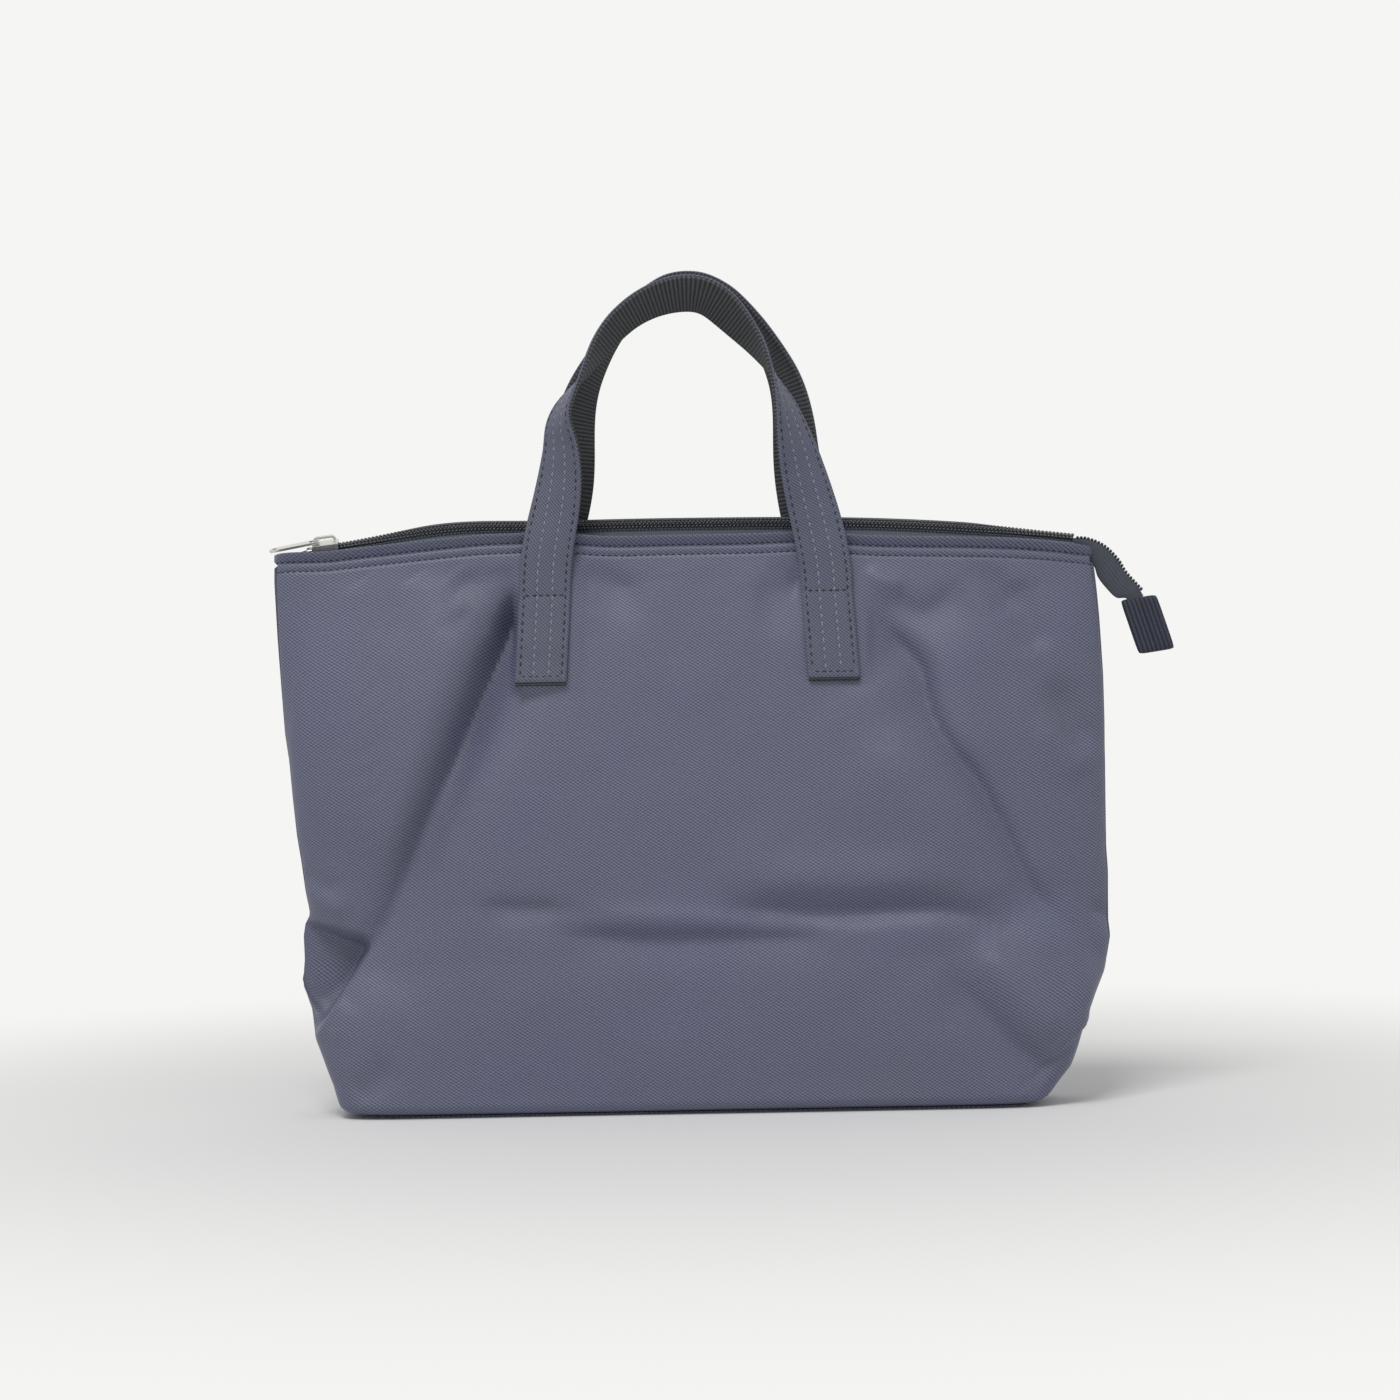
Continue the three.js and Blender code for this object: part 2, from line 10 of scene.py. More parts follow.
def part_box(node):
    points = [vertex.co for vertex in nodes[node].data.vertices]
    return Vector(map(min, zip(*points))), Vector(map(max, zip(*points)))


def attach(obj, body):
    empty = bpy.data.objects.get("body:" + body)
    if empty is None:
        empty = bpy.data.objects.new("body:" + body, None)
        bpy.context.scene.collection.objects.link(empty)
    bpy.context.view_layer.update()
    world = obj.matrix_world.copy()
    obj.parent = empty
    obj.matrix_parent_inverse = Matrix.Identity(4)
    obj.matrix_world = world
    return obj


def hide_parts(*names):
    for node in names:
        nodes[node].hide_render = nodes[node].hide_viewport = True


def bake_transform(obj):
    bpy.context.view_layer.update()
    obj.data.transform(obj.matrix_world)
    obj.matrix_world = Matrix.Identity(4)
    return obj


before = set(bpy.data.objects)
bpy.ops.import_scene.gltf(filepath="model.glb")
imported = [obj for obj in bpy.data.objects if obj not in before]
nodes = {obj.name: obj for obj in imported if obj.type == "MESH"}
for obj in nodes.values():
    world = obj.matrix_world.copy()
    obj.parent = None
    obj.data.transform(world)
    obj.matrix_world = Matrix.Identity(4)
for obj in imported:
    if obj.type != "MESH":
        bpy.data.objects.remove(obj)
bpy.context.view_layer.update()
mm = 0.001
print("frame loaded:", len(nodes), "nodes")


# Small helpers

def smoothStep(t):
    t = np.clip(t, 0, 1)
    return t * t * (3 - 2 * t)


def mix(a, b, t):
    return a + (b - a) * t


def bump(x, centre, width):
    return np.exp(-((x - centre) / width) ** 2)


def wayAlong(points):
    return np.concatenate([[0], np.cumsum(np.linalg.norm(np.diff(points, axis=0), axis=1))])


def rowsAt(at, way, rows):
    # the rows' values at these lengths of the way
    return np.stack([np.interp(at, way, rows[:, k]) for k in range(rows.shape[1])], axis=1)


def boxOf(node):
    low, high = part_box(node)
    return np.array(low) / mm, np.array(high) / mm


def deselectAll():
    bpy.ops.object.select_all(action="DESELECT")


def pickOnly(obj):
    deselectAll()
    obj.select_set(True)
    bpy.context.view_layer.objects.active = obj


def applyModifier(obj, kind, **settings):
    pickOnly(obj)
    modifier = obj.modifiers.new(kind, kind)
    for name, value in settings.items():
        setattr(modifier, name, value)
    bpy.ops.object.modifier_apply(modifier=modifier.name)


def shadeSmooth(obj, angle=40):
    pickOnly(obj)
    bpy.ops.object.shade_smooth_by_angle(angle=math.radians(angle))


def editMesh(obj, *steps):
    # runs each (operator, settings) on the whole mesh in edit mode
    pickOnly(obj)
    bpy.ops.object.mode_set(mode="EDIT")
    bpy.ops.mesh.select_all(action="SELECT")
    for operator, settings in steps:
        operator(**settings)
    bpy.ops.object.mode_set(mode="OBJECT")


def closeUp(obj, distance=0.02):
    # merges doubled corners and turns every face outwards
    editMesh(obj, (bpy.ops.mesh.remove_doubles, dict(threshold=distance * mm)),
             (bpy.ops.mesh.normals_make_consistent, dict(inside=False)))


def joinTo(obj, others):
    pickOnly(obj)
    for other in others:
        other.select_set(True)
    bpy.ops.object.join()
    return obj


def pointsOf(obj):
    co = np.zeros(len(obj.data.vertices) * 3)
    obj.data.vertices.foreach_get("co", co)
    return co.reshape(-1, 3)


def setPoints(obj, points):
    obj.data.vertices.foreach_set("co", (points * mm).ravel())
    obj.data.update()


def clothGrid(name, columns, rows, place):
    # a grid whose corners are laid by place(u, v); its UV map is the cloth's own length in metres
    deselectAll()
    bpy.ops.mesh.primitive_grid_add(x_subdivisions=columns, y_subdivisions=rows, size=1)
    obj = bpy.context.object
    obj.name = obj.data.name = name
    flat = pointsOf(obj) + 0.5
    points, weave = place(flat[:, 0], flat[:, 1])
    setPoints(obj, points)
    loops = np.zeros(len(obj.data.loops), int)
    obj.data.loops.foreach_get("vertex_index", loops)
    obj.data.uv_layers[0].data.foreach_set("uv", (weave[loops] * mm).ravel())
    return obj


def thicken(obj, thickness, edgeRound=0, segments=2):
    applyModifier(obj, "SOLIDIFY", thickness=thickness * mm, offset=-1)
    if edgeRound:
        applyModifier(obj, "BEVEL", width=edgeRound * mm, segments=segments, limit_method="ANGLE",
                      angle_limit=math.radians(50))


def finishPiece(obj, material, body=None, replaced=()):
    obj.data.materials.clear()
    obj.data.materials.append(material)
    if body:
        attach(obj, body)
    if replaced:
        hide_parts(*replaced)
    return obj


def copiesOf(name, template, places):
    # one mesh of the template set down at every place, each a 4x4 matrix in millimetres
    points = pointsOf(template)
    faces = [tuple(p.vertices) for p in template.data.polygons]
    allPoints, allFaces = [], []
    for k, place in enumerate(places):
        m = np.array(place)
        allPoints.append(points @ m[:3, :3].T + m[:3, 3])
        allFaces += [tuple(v + k * len(points) for v in face) for face in faces]
    mesh = bpy.data.meshes.new(name)
    mesh.from_pydata((np.vstack(allPoints) * mm).tolist(), [], allFaces)
    mesh.update()
    obj = bpy.data.objects.new(name, mesh)
    bpy.context.scene.collection.objects.link(obj)
    shadeSmooth(obj, 60)
    return obj


def axesMatrix(x, y, z, centre):
    m = Matrix((x, y, z)).transposed().to_4x4()
    m.translation = Vector(centre)
    return m


def placeMatrix(centre, along, out):
    # X runs along, Z out, Y completes them
    x = Vector(along).normalized()
    y = Vector(out).cross(x).normalized()
    return axesMatrix(x, y, x.cross(y), centre)


# Materials

def srgb(hexColour):
    parts = [int(hexColour[i:i + 2], 16) / 255 for i in (1, 3, 5)]
    return [c / 12.92 if c <= 0.04045 else ((c + 0.055) / 1.055) ** 2.4 for c in parts] + [1]


def addNode(tree, kind, links=None, **settings):
    node = tree.nodes.new(kind)
    for name, value in settings.items():
        setattr(node, name, value)
    for key, value in (links or {}).items():
        if isinstance(value, bpy.types.NodeSocket):
            tree.links.new(value, node.inputs[key])
        else:
            node.inputs[key].default_value = value
    return node


def objectPlace(tree):
    return addNode(tree, "ShaderNodeTexCoord").outputs["Object"]


def mixColours(tree, share, first, second):
    return addNode(tree, "ShaderNodeMix", {"Factor": share, 6: first, 7: second}, data_type="RGBA").outputs[2]


def newMaterial(name, **shader):
    material = bpy.data.materials.new(name)
    material.use_nodes = True
    tree = material.node_tree
    principled = tree.nodes["Principled BSDF"]
    for key, value in shader.items():
        principled.inputs[key.replace("_", " ")].default_value = value
    return material, tree, principled


def clothMaterial(name, cool, grey, gap, sheenTint, threads, roughness, relief, specular=0.2, sheen=0.1,
                  dip=0.2, depth=0.5):
    # Woven cloth: two sets of threads, each turned and spaced on its own, in the cloth's own UV metres.
    material, tree, shader = newMaterial(
        name, Roughness=roughness, Specular_IOR_Level=specular, Sheen_Weight=sheen, Sheen_Roughness=0.4)
    shader.inputs["Sheen Tint"].default_value = srgb(sheenTint)
    weave = addNode(tree, "ShaderNodeTexCoord").outputs["UV"]
    bands = []
    for turn, pitch, share in threads:
        turned = addNode(tree, "ShaderNodeMapping", {"Vector": weave, "Rotation": (0, 0, math.radians(turn))})
        wave = addNode(tree, "ShaderNodeTexWave", {
            "Vector": turned.outputs["Vector"], "Scale": math.pi / 10 / (pitch * mm), "Distortion": 0.6,
            "Detail": 1, "Detail Scale": 2}, wave_type="BANDS", bands_direction="X")
        scaled = addNode(tree, "ShaderNodeMath", {0: wave.outputs["Fac"], 1: share}, operation="MULTIPLY")
        bands.append(scaled.outputs[0])
    height = bands[0]
    for band in bands[1:]:
        height = addNode(tree, "ShaderNodeMath", {0: height, 1: band}, operation="ADD").outputs[0]
    place = objectPlace(tree)
    patches = addNode(tree, "ShaderNodeTexNoise", {
        "Vector": place, "Scale": 14, "Detail": 3, "Roughness": 0.5})
    tint = mixColours(tree, patches.outputs["Fac"], srgb(cool), srgb(grey))
    # the thread crests take the tint and the gaps between them the darker gap colour: a painted highlight on
    # the crests and painted shade in the gaps, on top of the bump's own shading
    spread = addNode(tree, "ShaderNodeMapRange", {"Value": height, "From Min": dip})
    fuzz = addNode(tree, "ShaderNodeTexNoise", {"Vector": place, "Scale": 1400, "Detail": 1})
    thread = addNode(tree, "ShaderNodeMath", {
        0: fuzz.outputs["Fac"], 1: 0.42, 2: spread.outputs[0]}, operation="MULTIPLY_ADD", use_clamp=True)
    colour = mixColours(tree, thread.outputs[0], srgb(gap), tint)
    tree.links.new(colour, shader.inputs["Base Color"])
    raised = addNode(tree, "ShaderNodeBump", {"Height": height, "Strength": depth, "Distance": relief * mm})
    tree.links.new(raised.outputs["Normal"], shader.inputs["Normal"])
    return material


print("helpers ready")

# Coated polyester cloth: a soft sheen, violet-blue where it faces the light, greyer across it.
# The real threads are about 1 mm apart along both diagonals; they are drawn at 1.35 mm so that they show.
twill = clothMaterial(
    "coatedNavyWeave", cool="#757897", grey="#76798c", gap="#2e3140", sheenTint="#a9acc8",
    threads=[(-57, 1.35, 0.64), (57, 1.35, 0.36)],
    roughness=0.46, relief=0.14, specular=0.48, sheen=0.12, dip=0.12, depth=0.7)

# The same cloth folded double for the straps: the weave looks finer and greyer there.
strapTwill = clothMaterial(
    "strapWeave", cool="#6d7088", grey="#6e7182", gap="#292c36", sheenTint="#a9acc8",
    threads=[(-50, 1.3, 0.62), (50, 1.3, 0.38)],
    roughness=0.55, relief=0.14, specular=0.35, dip=0.1, depth=0.7)

# Woven zip tape: flat polyester with fine threads lengthwise, matt and greener than the cloth.
tapeWeave = clothMaterial(
    "zipTapeWeave", cool="#666b76", grey="#696e77", gap="#454a53", sheenTint="#9aa0a6",
    threads=[(0, 1.1, 0.5), (90, 0.8, 0.5)],
    roughness=0.8, relief=0.08)

# The same tape folded double at the zip's tail, in darker colours: painted shade for the shade that the folded
# tail lies in.
tailTapeShadedWeave = clothMaterial(
    "foldedZipTape", cool="#575b65", grey="#595e66", gap="#3a3e46", sheenTint="#8a9098",
    threads=[(0, 1.1, 0.5), (90, 0.8, 0.5)],
    roughness=0.8, relief=0.08)

# Grosgrain webbing: stout ribs across the strap, 2 mm apart, black gone grey where light catches them.
ribbedWebbing = clothMaterial(
    "blackGrosgrainWebbing", cool="#55575a", grey="#5a5c5e", gap="#17181a", sheenTint="#8d9094",
    threads=[(90, 2.0, 0.75), (0, 1.0, 0.25)],
    roughness=0.78, relief=0.3, specular=0.25, sheen=0.15, dip=0.15, depth=0.9)

# The pull tab's folded webbing: the same threads with the ribs along its length, a little bluer.
tabWebbing = clothMaterial(
    "foldedTabWebbing", cool="#484c5d", grey="#4a4d59", gap="#1a1c23", sheenTint="#8d90a0",
    threads=[(0, 2.2, 0.75), (90, 0.9, 0.25)],
    roughness=0.75, relief=0.35, specular=0.25, sheen=0.15, dip=0.15, depth=0.9)

# Plain matt lining cloth for the facings behind the hem.
liningCloth = clothMaterial(
    "mattFacingCloth", cool="#3f424c", grey="#43464e", gap="#2b2d35", sheenTint="#7c8088",
    threads=[(0, 1.0, 0.5), (90, 1.0, 0.5)],
    roughness=0.85, relief=0.08, sheen=0.05, depth=0.4)


def threadMaterial(name, pale, deep):
    # Spun polyester sewing thread: two plies, matt, a little fuzzy.
    material, tree, shader = newMaterial(name, Roughness=0.7, Specular_IOR_Level=0.3, Sheen_Weight=0.2)
    place = objectPlace(tree)
    ply = addNode(tree, "ShaderNodeTexWave", {"Vector": place, "Scale": math.pi / 10 / (0.5 * mm)},
                  bands_direction="DIAGONAL")
    colour = mixColours(tree, ply.outputs["Fac"], srgb(deep), srgb(pale))
    tree.links.new(colour, shader.inputs["Base Color"])
    return material


darkThread = threadMaterial("navyThread", "#34363f", "#23252c")
greyThread = threadMaterial("greyThread", "#9a9da8", "#777b86")

# Moulded nylon coil: near black and smooth, so that every turn carries a small bright spot.
coilNylon, coilTree, coilShader = newMaterial(
    "blackCoilNylon", Roughness=0.28, IOR=1.53, Specular_IOR_Level=0.6)
coilNoise = addNode(coilTree, "ShaderNodeTexNoise", {
    "Vector": objectPlace(coilTree), "Scale": 900, "Detail": 2})
coilColour = mixColours(coilTree, coilNoise.outputs["Fac"], srgb("#26282c"), srgb("#3c4045"))
coilTree.links.new(coilColour, coilShader.inputs["Base Color"])

# Nickel-plated zinc casting: bright, a little orange-peel from the casting and faint rubbing marks.
plated, platedTree, platedShader = newMaterial("nickelPlate", Metallic=1, Roughness=0.2)
platedShader.inputs["Base Color"].default_value = srgb("#dcdad6")
platedNoise = addNode(platedTree, "ShaderNodeTexNoise", {
    "Vector": objectPlace(platedTree), "Scale": 700, "Detail": 3})
platedRough = addNode(platedTree, "ShaderNodeMapRange", {
    "Value": platedNoise.outputs["Fac"], "To Min": 0.28, "To Max": 0.46})
platedTree.links.new(platedRough.outputs[0], platedShader.inputs["Roughness"])
platedRelief = addNode(platedTree, "ShaderNodeBump", {
    "Height": platedNoise.outputs["Fac"], "Strength": 0.25, "Distance": 0.05 * mm})
platedTree.links.new(platedRelief.outputs["Normal"], platedShader.inputs["Normal"])
print("materials ready")


# Camera, at the height of the bag's middle and turned by the degree that the bag hangs askew

camera = dict(distance=1620, aside=3.3, height=205.8, fieldOfView=24.7, turn=1.05)
bpy.ops.object.camera_add(
    location=(camera["aside"] * mm, -camera["distance"] * mm, camera["height"] * mm),
    rotation=(math.pi / 2, math.radians(camera["turn"]), 0))
lens = bpy.context.object
lens.data.sensor_width = 36
lens.data.lens = 18 / math.tan(math.radians(camera["fieldOfView"] / 2))
bpy.context.scene.camera = lens


# Body form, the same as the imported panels

panelLow, panelHigh = boxOf("front_panel")
bag = dict(height=panelHigh[2], mouthWidth=panelHigh[0] - panelLow[0], depth=-2 * panelLow[1],
           mouthDepth=24, baseLength=350, bodyWidth=401, gusset=80, edgeRadius=8, cloth=1.2,
           zipInset=9, zipRise=12, zipAbove=9)
zipHalf = bag["mouthWidth"] / 2 - bag["zipInset"]
zipRadius = (zipHalf ** 2 + bag["zipRise"] ** 2) / (2 * bag["zipRise"])
zipCentre = bag["height"] + bag["zipAbove"] - zipRadius


def arcDrop(x):
    return zipRadius - np.sqrt(zipRadius ** 2 - x ** 2)


def bodySection(height):
    gusset, top = bag["gusset"], bag["height"]
    boxed = 1 - smoothStep(height / gusset)
    slot = smoothStep((height - gusset) / (top - gusset))
    flare = np.sin(np.minimum(height / gusset, 1) * np.pi / 2)
    fall = np.cos(np.clip(height / top, 0, 1) ** 1.6 * np.pi / 2)
    under = np.maximum(bag["edgeRadius"] - height, 0)
    turn = bag["edgeRadius"] - np.sqrt(bag["edgeRadius"] ** 2 - under ** 2)
    width = mix(mix(bag["baseLength"], bag["bodyWidth"], flare), bag["mouthWidth"], slot)
    return (width / 2 - turn, mix(bag["mouthDepth"], bag["depth"], fall) / 2 - turn,
            mix(3, 14, boxed) + 3 * slot, mix(2.4, 6, boxed) + 0.6 * slot)


def sectionRing(height, shares):
    # points from the left seam round the front to the right seam, at these shares of the way
    a, b, p, q = bodySection(height)
    turn = np.linspace(0, np.pi, 801)
    x = -np.sign(np.cos(turn)) * a * np.abs(np.cos(turn)) ** (2 / p)
    y = -b * np.abs(np.sin(turn)) ** (2 / q)
    way = np.concatenate([[0], np.cumsum(np.hypot(np.diff(x), np.diff(y)))])
    at = shares * way[-1]
    return np.interp(at, way, x), np.interp(at, way, y), at - way[-1] / 2


def frontFace(x, z):
    a, b, p, q = bodySection(z / (bag["height"] - arcDrop(x)) * bag["height"])
    return -b * np.maximum(1 - np.abs(x / a) ** p, 0) ** (1 / q)


def frontOffset(x, z, outwards):
    # points off the front's outer face, and its outward normals
    step = 0.5
    slopeX = (frontFace(x + step, z) - frontFace(x - step, z)) / (2 * step)
    slopeZ = (frontFace(x, z + step) - frontFace(x, z - step)) / (2 * step)
    normal = np.stack([slopeX, -np.ones_like(slopeX), slopeZ], axis=-1)
    normal /= np.linalg.norm(normal, axis=-1, keepdims=True)
    return np.stack([x, frontFace(x, z), z], axis=-1) + normal * outwards, normal


# Folds: each runs along a few points (x, z), out is its height (negative for a valley),
# and its two widths are to the left and to the right of the way it runs.

def fold(path, out, left, right, power=2.0, fade=(0.25, 0.25)):
    return dict(path=path, out=out, left=left, right=right, power=power, fade=fade)


frontFolds = [
    # long pull line from under the left strap down to the left corner: a steep bank facing right
    # and down that ends in a sharp valley, with the bag's middle standing out beyond it
    fold([(-84, 262), (-92, 240), (-113, 194), (-126, 166), (-138, 140), (-149, 114), (-163, 85), (-171, 72),
          (-178, 60)], -10.5, 24, 7.5, 1.5, (.1, .35)),
    fold([(-104, 258), (-122, 224), (-140, 180), (-152, 140), (-164, 112)], 4.5, 12, 26, 2, (.2, .3)),
    fold([(-78, 246), (-92, 205), (-110, 160), (-126, 124), (-146, 90)], 3.0, 26, 12, 2, (.3, .4)),
    fold([(-82, 262), (-92, 240), (-106, 210), (-120, 178), (-134, 148)], -6.5, 20, 5.5, 1.5, (.1, .5)),
    # pinched corner at the left seam
    fold([(-204, 112), (-190, 108), (-172, 101)], 3.6, 12, 6, 2, (.1, .4)),
    fold([(-200, 122), (-188, 116), (-174, 114)], -2.2, 5, 6, 2, (.1, .4)),
    # the slack between that line and the left seam hangs over the pinch
    fold([(-206, 172), (-184, 168), (-150, 164)], 4, 70, 44, 2, (.1, .5)),
    # shades beside the left strap
    fold([(-120, 252), (-112, 262), (-98, 266), (-86, 267)], -2.9, 6, 18, 2, (.4, .1)),
    fold([(-118, 250), (-110, 240), (-98, 240)], -1.8, 6, 9, 2, (.3, .3)),
    fold([(-106, 281), (-97, 272)], -1.8, 5, 8), fold([(-126, 280), (-114, 269)], -1.8, 6, 9),
    fold([(-168, 277), (-158, 268)], -2.2, 5, 9), fold([(-142, 276), (-134, 266)], -1.4, 5, 8),
    fold([(-54, 280), (-42, 268), (-33, 262), (-22, 265)], -3.0, 7, 17, 2, (.3, .4)),
    fold([(28, 257), (42, 258), (57, 262)], -2.4, 7, 18, 2, (.4, .1)),
    fold([(40, 278), (52, 270), (60, 262)], -2.2, 6, 9, 2, (.3, .1)),
    # long pull line from the right strap down to the right corner: the bank beyond it faces down
    fold([(85, 251), (101, 236), (114, 220), (119, 198), (128, 180), (141, 163), (154, 137), (163, 114),
          (171, 100), (180, 89), (190, 81)], -8.2, 4.6, 24, 1.4, (.15, .25)),
    fold([(78, 232), (94, 200), (110, 168), (126, 136), (142, 104)], 4.2, 20, 24, 2, (.3, .4)),
    fold([(116, 236), (132, 214), (142, 188), (156, 156)], 1.8, 12, 10, 2, (.3, .3)),
    fold([(104, 204), (124, 164), (144, 124), (160, 92)], 5.5, 20, 34, 2, (.3, .2)),
    # below that line the right corner leans back upwards from the slack above the base
    fold([(148, 106), (163, 88), (178, 70), (190, 56), (200, 45)], 8, 18, 30, 2, (.5, .05)),
    fold([(190, 99), (196, 96), (203, 93)], -3.5, 3.5, 4, 1.6, (.4, .05)),
    # crossed shades at the top right
    fold([(92, 262), (104, 252), (116, 247), (127, 252), (138, 262)], -3.6, 6, 13, 1.8, (.3, .3)),
    fold([(86, 272), (98, 262), (108, 258)], 2.1, 6, 6),
    fold([(140, 277), (152, 262), (160, 240)], -2.7, 7, 7),
    fold([(161, 262), (168, 240), (174, 222)], -3.0, 8, 8),
    fold([(172, 214), (182, 201), (188, 187), (194, 172)], -5.1, 9, 8, 2, (.4, .3)),
    fold([(166, 196), (180, 180), (192, 160)], 2.4, 9, 9, 2, (.4, .3)),
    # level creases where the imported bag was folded: each is a bank facing down
    fold([(-118, 105), (-90, 104), (-54, 102)], -3.6, 4, 10, 1.6, (.4, .4)),
    fold([(-78, 91), (-30, 88), (20, 87), (72, 86)], -4.6, 4.0, 14, 1.5, (.25, .2)),
    fold([(-62, 99), (-10, 97), (50, 96)], 2.1, 6, 6, 2, (.3, .3)),
    fold([(4, 101), (34, 100), (70, 98), (100, 99), (120, 99), (136, 96), (152, 90)],
         -6.3, 8, 6, 1.5, (.2, .2)),
    fold([(20, 116), (70, 114), (110, 115), (136, 110)], 3.6, 14, 8, 2, (.3, .3)),
    # slack above the base at the right
    fold([(120, 74), (133, 58), (146, 43), (162, 26), (178, 15)], -4.2, 6, 14, 1.7, (.3, .15)),
    fold([(134, 86), (150, 66), (166, 46), (180, 32)], 3.9, 9, 9, 2, (.3, .2)),
    fold([(-176, 62), (-184, 48), (-186, 32)], 1.5, 10, 12, 2, (.3, .4)),
    fold([(-150, 30), (-162, 18), (-172, 10)], -2.1, 8, 8, 2, (.4, .2)),
]

# The boxed corner is pinched at the left seam: cloth sunk between two creases that spread from a point
leftPinch = dict(corner=(-159, 90), upper=(-207, 105), lower=(-190, 44), depth=17, banks=(11, 9))

backFolds = [
    fold([(-84, 262), (-108, 222), (-136, 160), (-158, 104), (-172, 70)], -6.4, 22, 9, 1.6, (.15, .25)),
    fold([(84, 260), (104, 226), (128, 170), (142, 120), (166, 76)], -7.6, 9, 22, 1.5, (.15, .25)),
    fold([(104, 244), (126, 196), (144, 146), (160, 106)], 3.6, 24, 12, 2, (.3, .4)),
    fold([(-104, 244), (-124, 200), (-142, 150), (-158, 112)], 3.4, 12, 24, 2, (.3, .4)),
    fold([(205, 92), (190, 88), (172, 92)], -5.0, 8, 5, 1.6, (.02, .5)),
    fold([(-110, 94), (-40, 97), (10, 95), (60, 99)], -4.2, 4, 12, 1.5, (.3, .4)),
    fold([(20, 110), (80, 114), (130, 106)], -3.6, 4, 10, 1.6, (.4, .3)),
    fold([(-140, 56), (-156, 34), (-172, 18)], -3.6, 9, 8, 1.8, (.4, .2)),
    fold([(-40, 268), (-28, 258), (-12, 262)], -2.8, 7, 7),
    fold([(24, 262), (40, 256), (54, 264)], -2.8, 7, 7),
    fold([(150, 262), (164, 236), (186, 200)], -3.4, 9, 9),
    fold([(-146, 266), (-160, 240), (-184, 210)], -2.8, 9, 9),
]


def smoothLine(points, steps=14):
    # a curve through the points, with the share of its length at each step
    points = np.array(points, float)
    ends = np.vstack([2 * points[0] - points[1], points, 2 * points[-1] - points[-2]])
    line = []
    for k in range(1, len(ends) - 2):
        a, b, c, d = ends[k - 1:k + 3]
        for t in np.linspace(0, 1, steps, endpoint=k == len(ends) - 3):
            line.append(0.5 * (2 * b + (c - a) * t + (2 * a - 5 * b + 4 * c - d) * t ** 2
                               + (3 * b - a - 3 * c + d) * t ** 3))
    line = np.array(line)
    way = wayAlong(line)
    return line, way


def foldHeight(x, z, folds):
    total = np.zeros(len(x))
    for one in folds:
        line, way = smoothLine(one["path"])
        heading = np.gradient(line, axis=0)
        heading /= np.linalg.norm(heading, axis=1)[:, None]
        offX, offZ = x[:, None] - line[None, :, 0], z[:, None] - line[None, :, 1]
        far = offX ** 2 + offZ ** 2
        near = far.argmin(axis=1)
        row = np.arange(len(x))
        side = heading[near, 0] * offZ[row, near] - heading[near, 1] * offX[row, near]
        width = mix(one["right"], one["left"], smoothStep(side / 3 + 0.5))
        share = way[near] / way[-1]
        ends = smoothStep(share / one["fade"][0]) * smoothStep((1 - share) / one["fade"][1])
        ends = mix(0.12, 1, ends)
        total += one["out"] * ends * np.exp(-(np.sqrt(far[row, near]) / width) ** one["power"])
    return total


# How far each side seam is moved outwards at a height (z, move); the pulls of the cloth make it wander
leftSeamMoves = [(0, 8.2), (8, 5), (16, 1.9), (28, 0.5), (40, 0), (53, -1.6), (66, 0), (78, -1.3),
                 (90, -1), (96, -2), (101, -4.6), (112, -2.6), (128, -0.9), (141, 0.8), (160, 2.1),
                 (178, 3.1), (191, 4.6), (235, 6.5), (262, 7.3), (284, 6.7)]
rightSeamMoves = [(0, -7), (6, -3.5), (19, 2.2), (35, 0.8), (48, 0.2), (53, 1.6), (60, 3.6), (66, 5.6),
                  (72, 6.6), (78, 7.6), (83, 8.5), (91, 7.6), (116, 7.6), (128, 6.7), (172, 5.8), (178, 5.6),
                  (191, 5.4), (213, 4.6), (241, 2.6), (253, 1.5), (262, 0.5), (278, -1.4)]


def seamMove(x, z):
    left = np.interp(z, *np.array(leftSeamMoves).T)
    right = np.interp(z, *np.array(rightSeamMoves).T)
    reach = smoothStep((np.abs(x) - 120) / 84) ** 2
    return np.where(x < 0, -left, right) * reach


def hemLift(x):
    # the straps pull the hem up a little, and it hangs flatter towards both ends than the zip's arc
    straps = 2.5 * bump(x, -66, 20) + 1.6 * bump(x, 60, 24) + 0.3 * (1 - smoothStep((np.abs(x) - 90) / 70))
    left = 5.4 * smoothStep((-x - 45) / 65) + 2.6 * smoothStep((-x - 175) / 29)
    return straps + left + 4.6 * smoothStep((x - 75) / 115)


hem = dict(stitchRows=(4.2, 9), groove=0.8, grooveWidth=0.75, edgeProud=3.6, slope=4.4, roll=0.6)
seam = dict(finWidth=4.8, finShown=3.3, finThick=1.7, stitchPitch=3.6, stitchOut=1.05)
strap = dict(x=72, width=26, top=boxOf("front_handle_left_end")[1][2] - 0.3,
             bottom=boxOf("front_handle_left_end")[0][2], webbing=1.8, cover=0.9, gap=0.3, coverShort=1.7,
             rowPitch=4.2, rowSunk=0.22, crossPitch=3.4, crossSunk=0.05)
rowHeights = np.concatenate([
    bag["edgeRadius"] * (1 - np.cos(np.linspace(0, np.pi / 2, 8, endpoint=False))),
    np.linspace(bag["edgeRadius"], 262, 118, endpoint=False), np.linspace(262, bag["height"], 46)])


def pinchHeight(x, z, corner, upper, lower, depth, banks):
    # cloth sunk below the upper crease and beyond the lower one, down a bank at each
    below, beyond = (turn * ((end[0] - corner[0]) * (z - corner[1]) - (end[1] - corner[1]) * (x - corner[0]))
                     / math.dist(end, corner) for end, turn in ((upper, 1), (lower, -1)))
    return -depth * smoothStep(below / banks[0]) * smoothStep(beyond / banks[1])


def softNoise(x, z, size, seed):
    return np.array([noise.noise(Vector((a / size, b / size, seed))) for a, b in zip(x, z)])


surfaces = {}


def finShare(x, z):
    # how much of the seam's fin shows at this height: none in the boxed corners
    low = np.where(x < 0, 100, 66)
    return smoothStep((z - low) / 26)


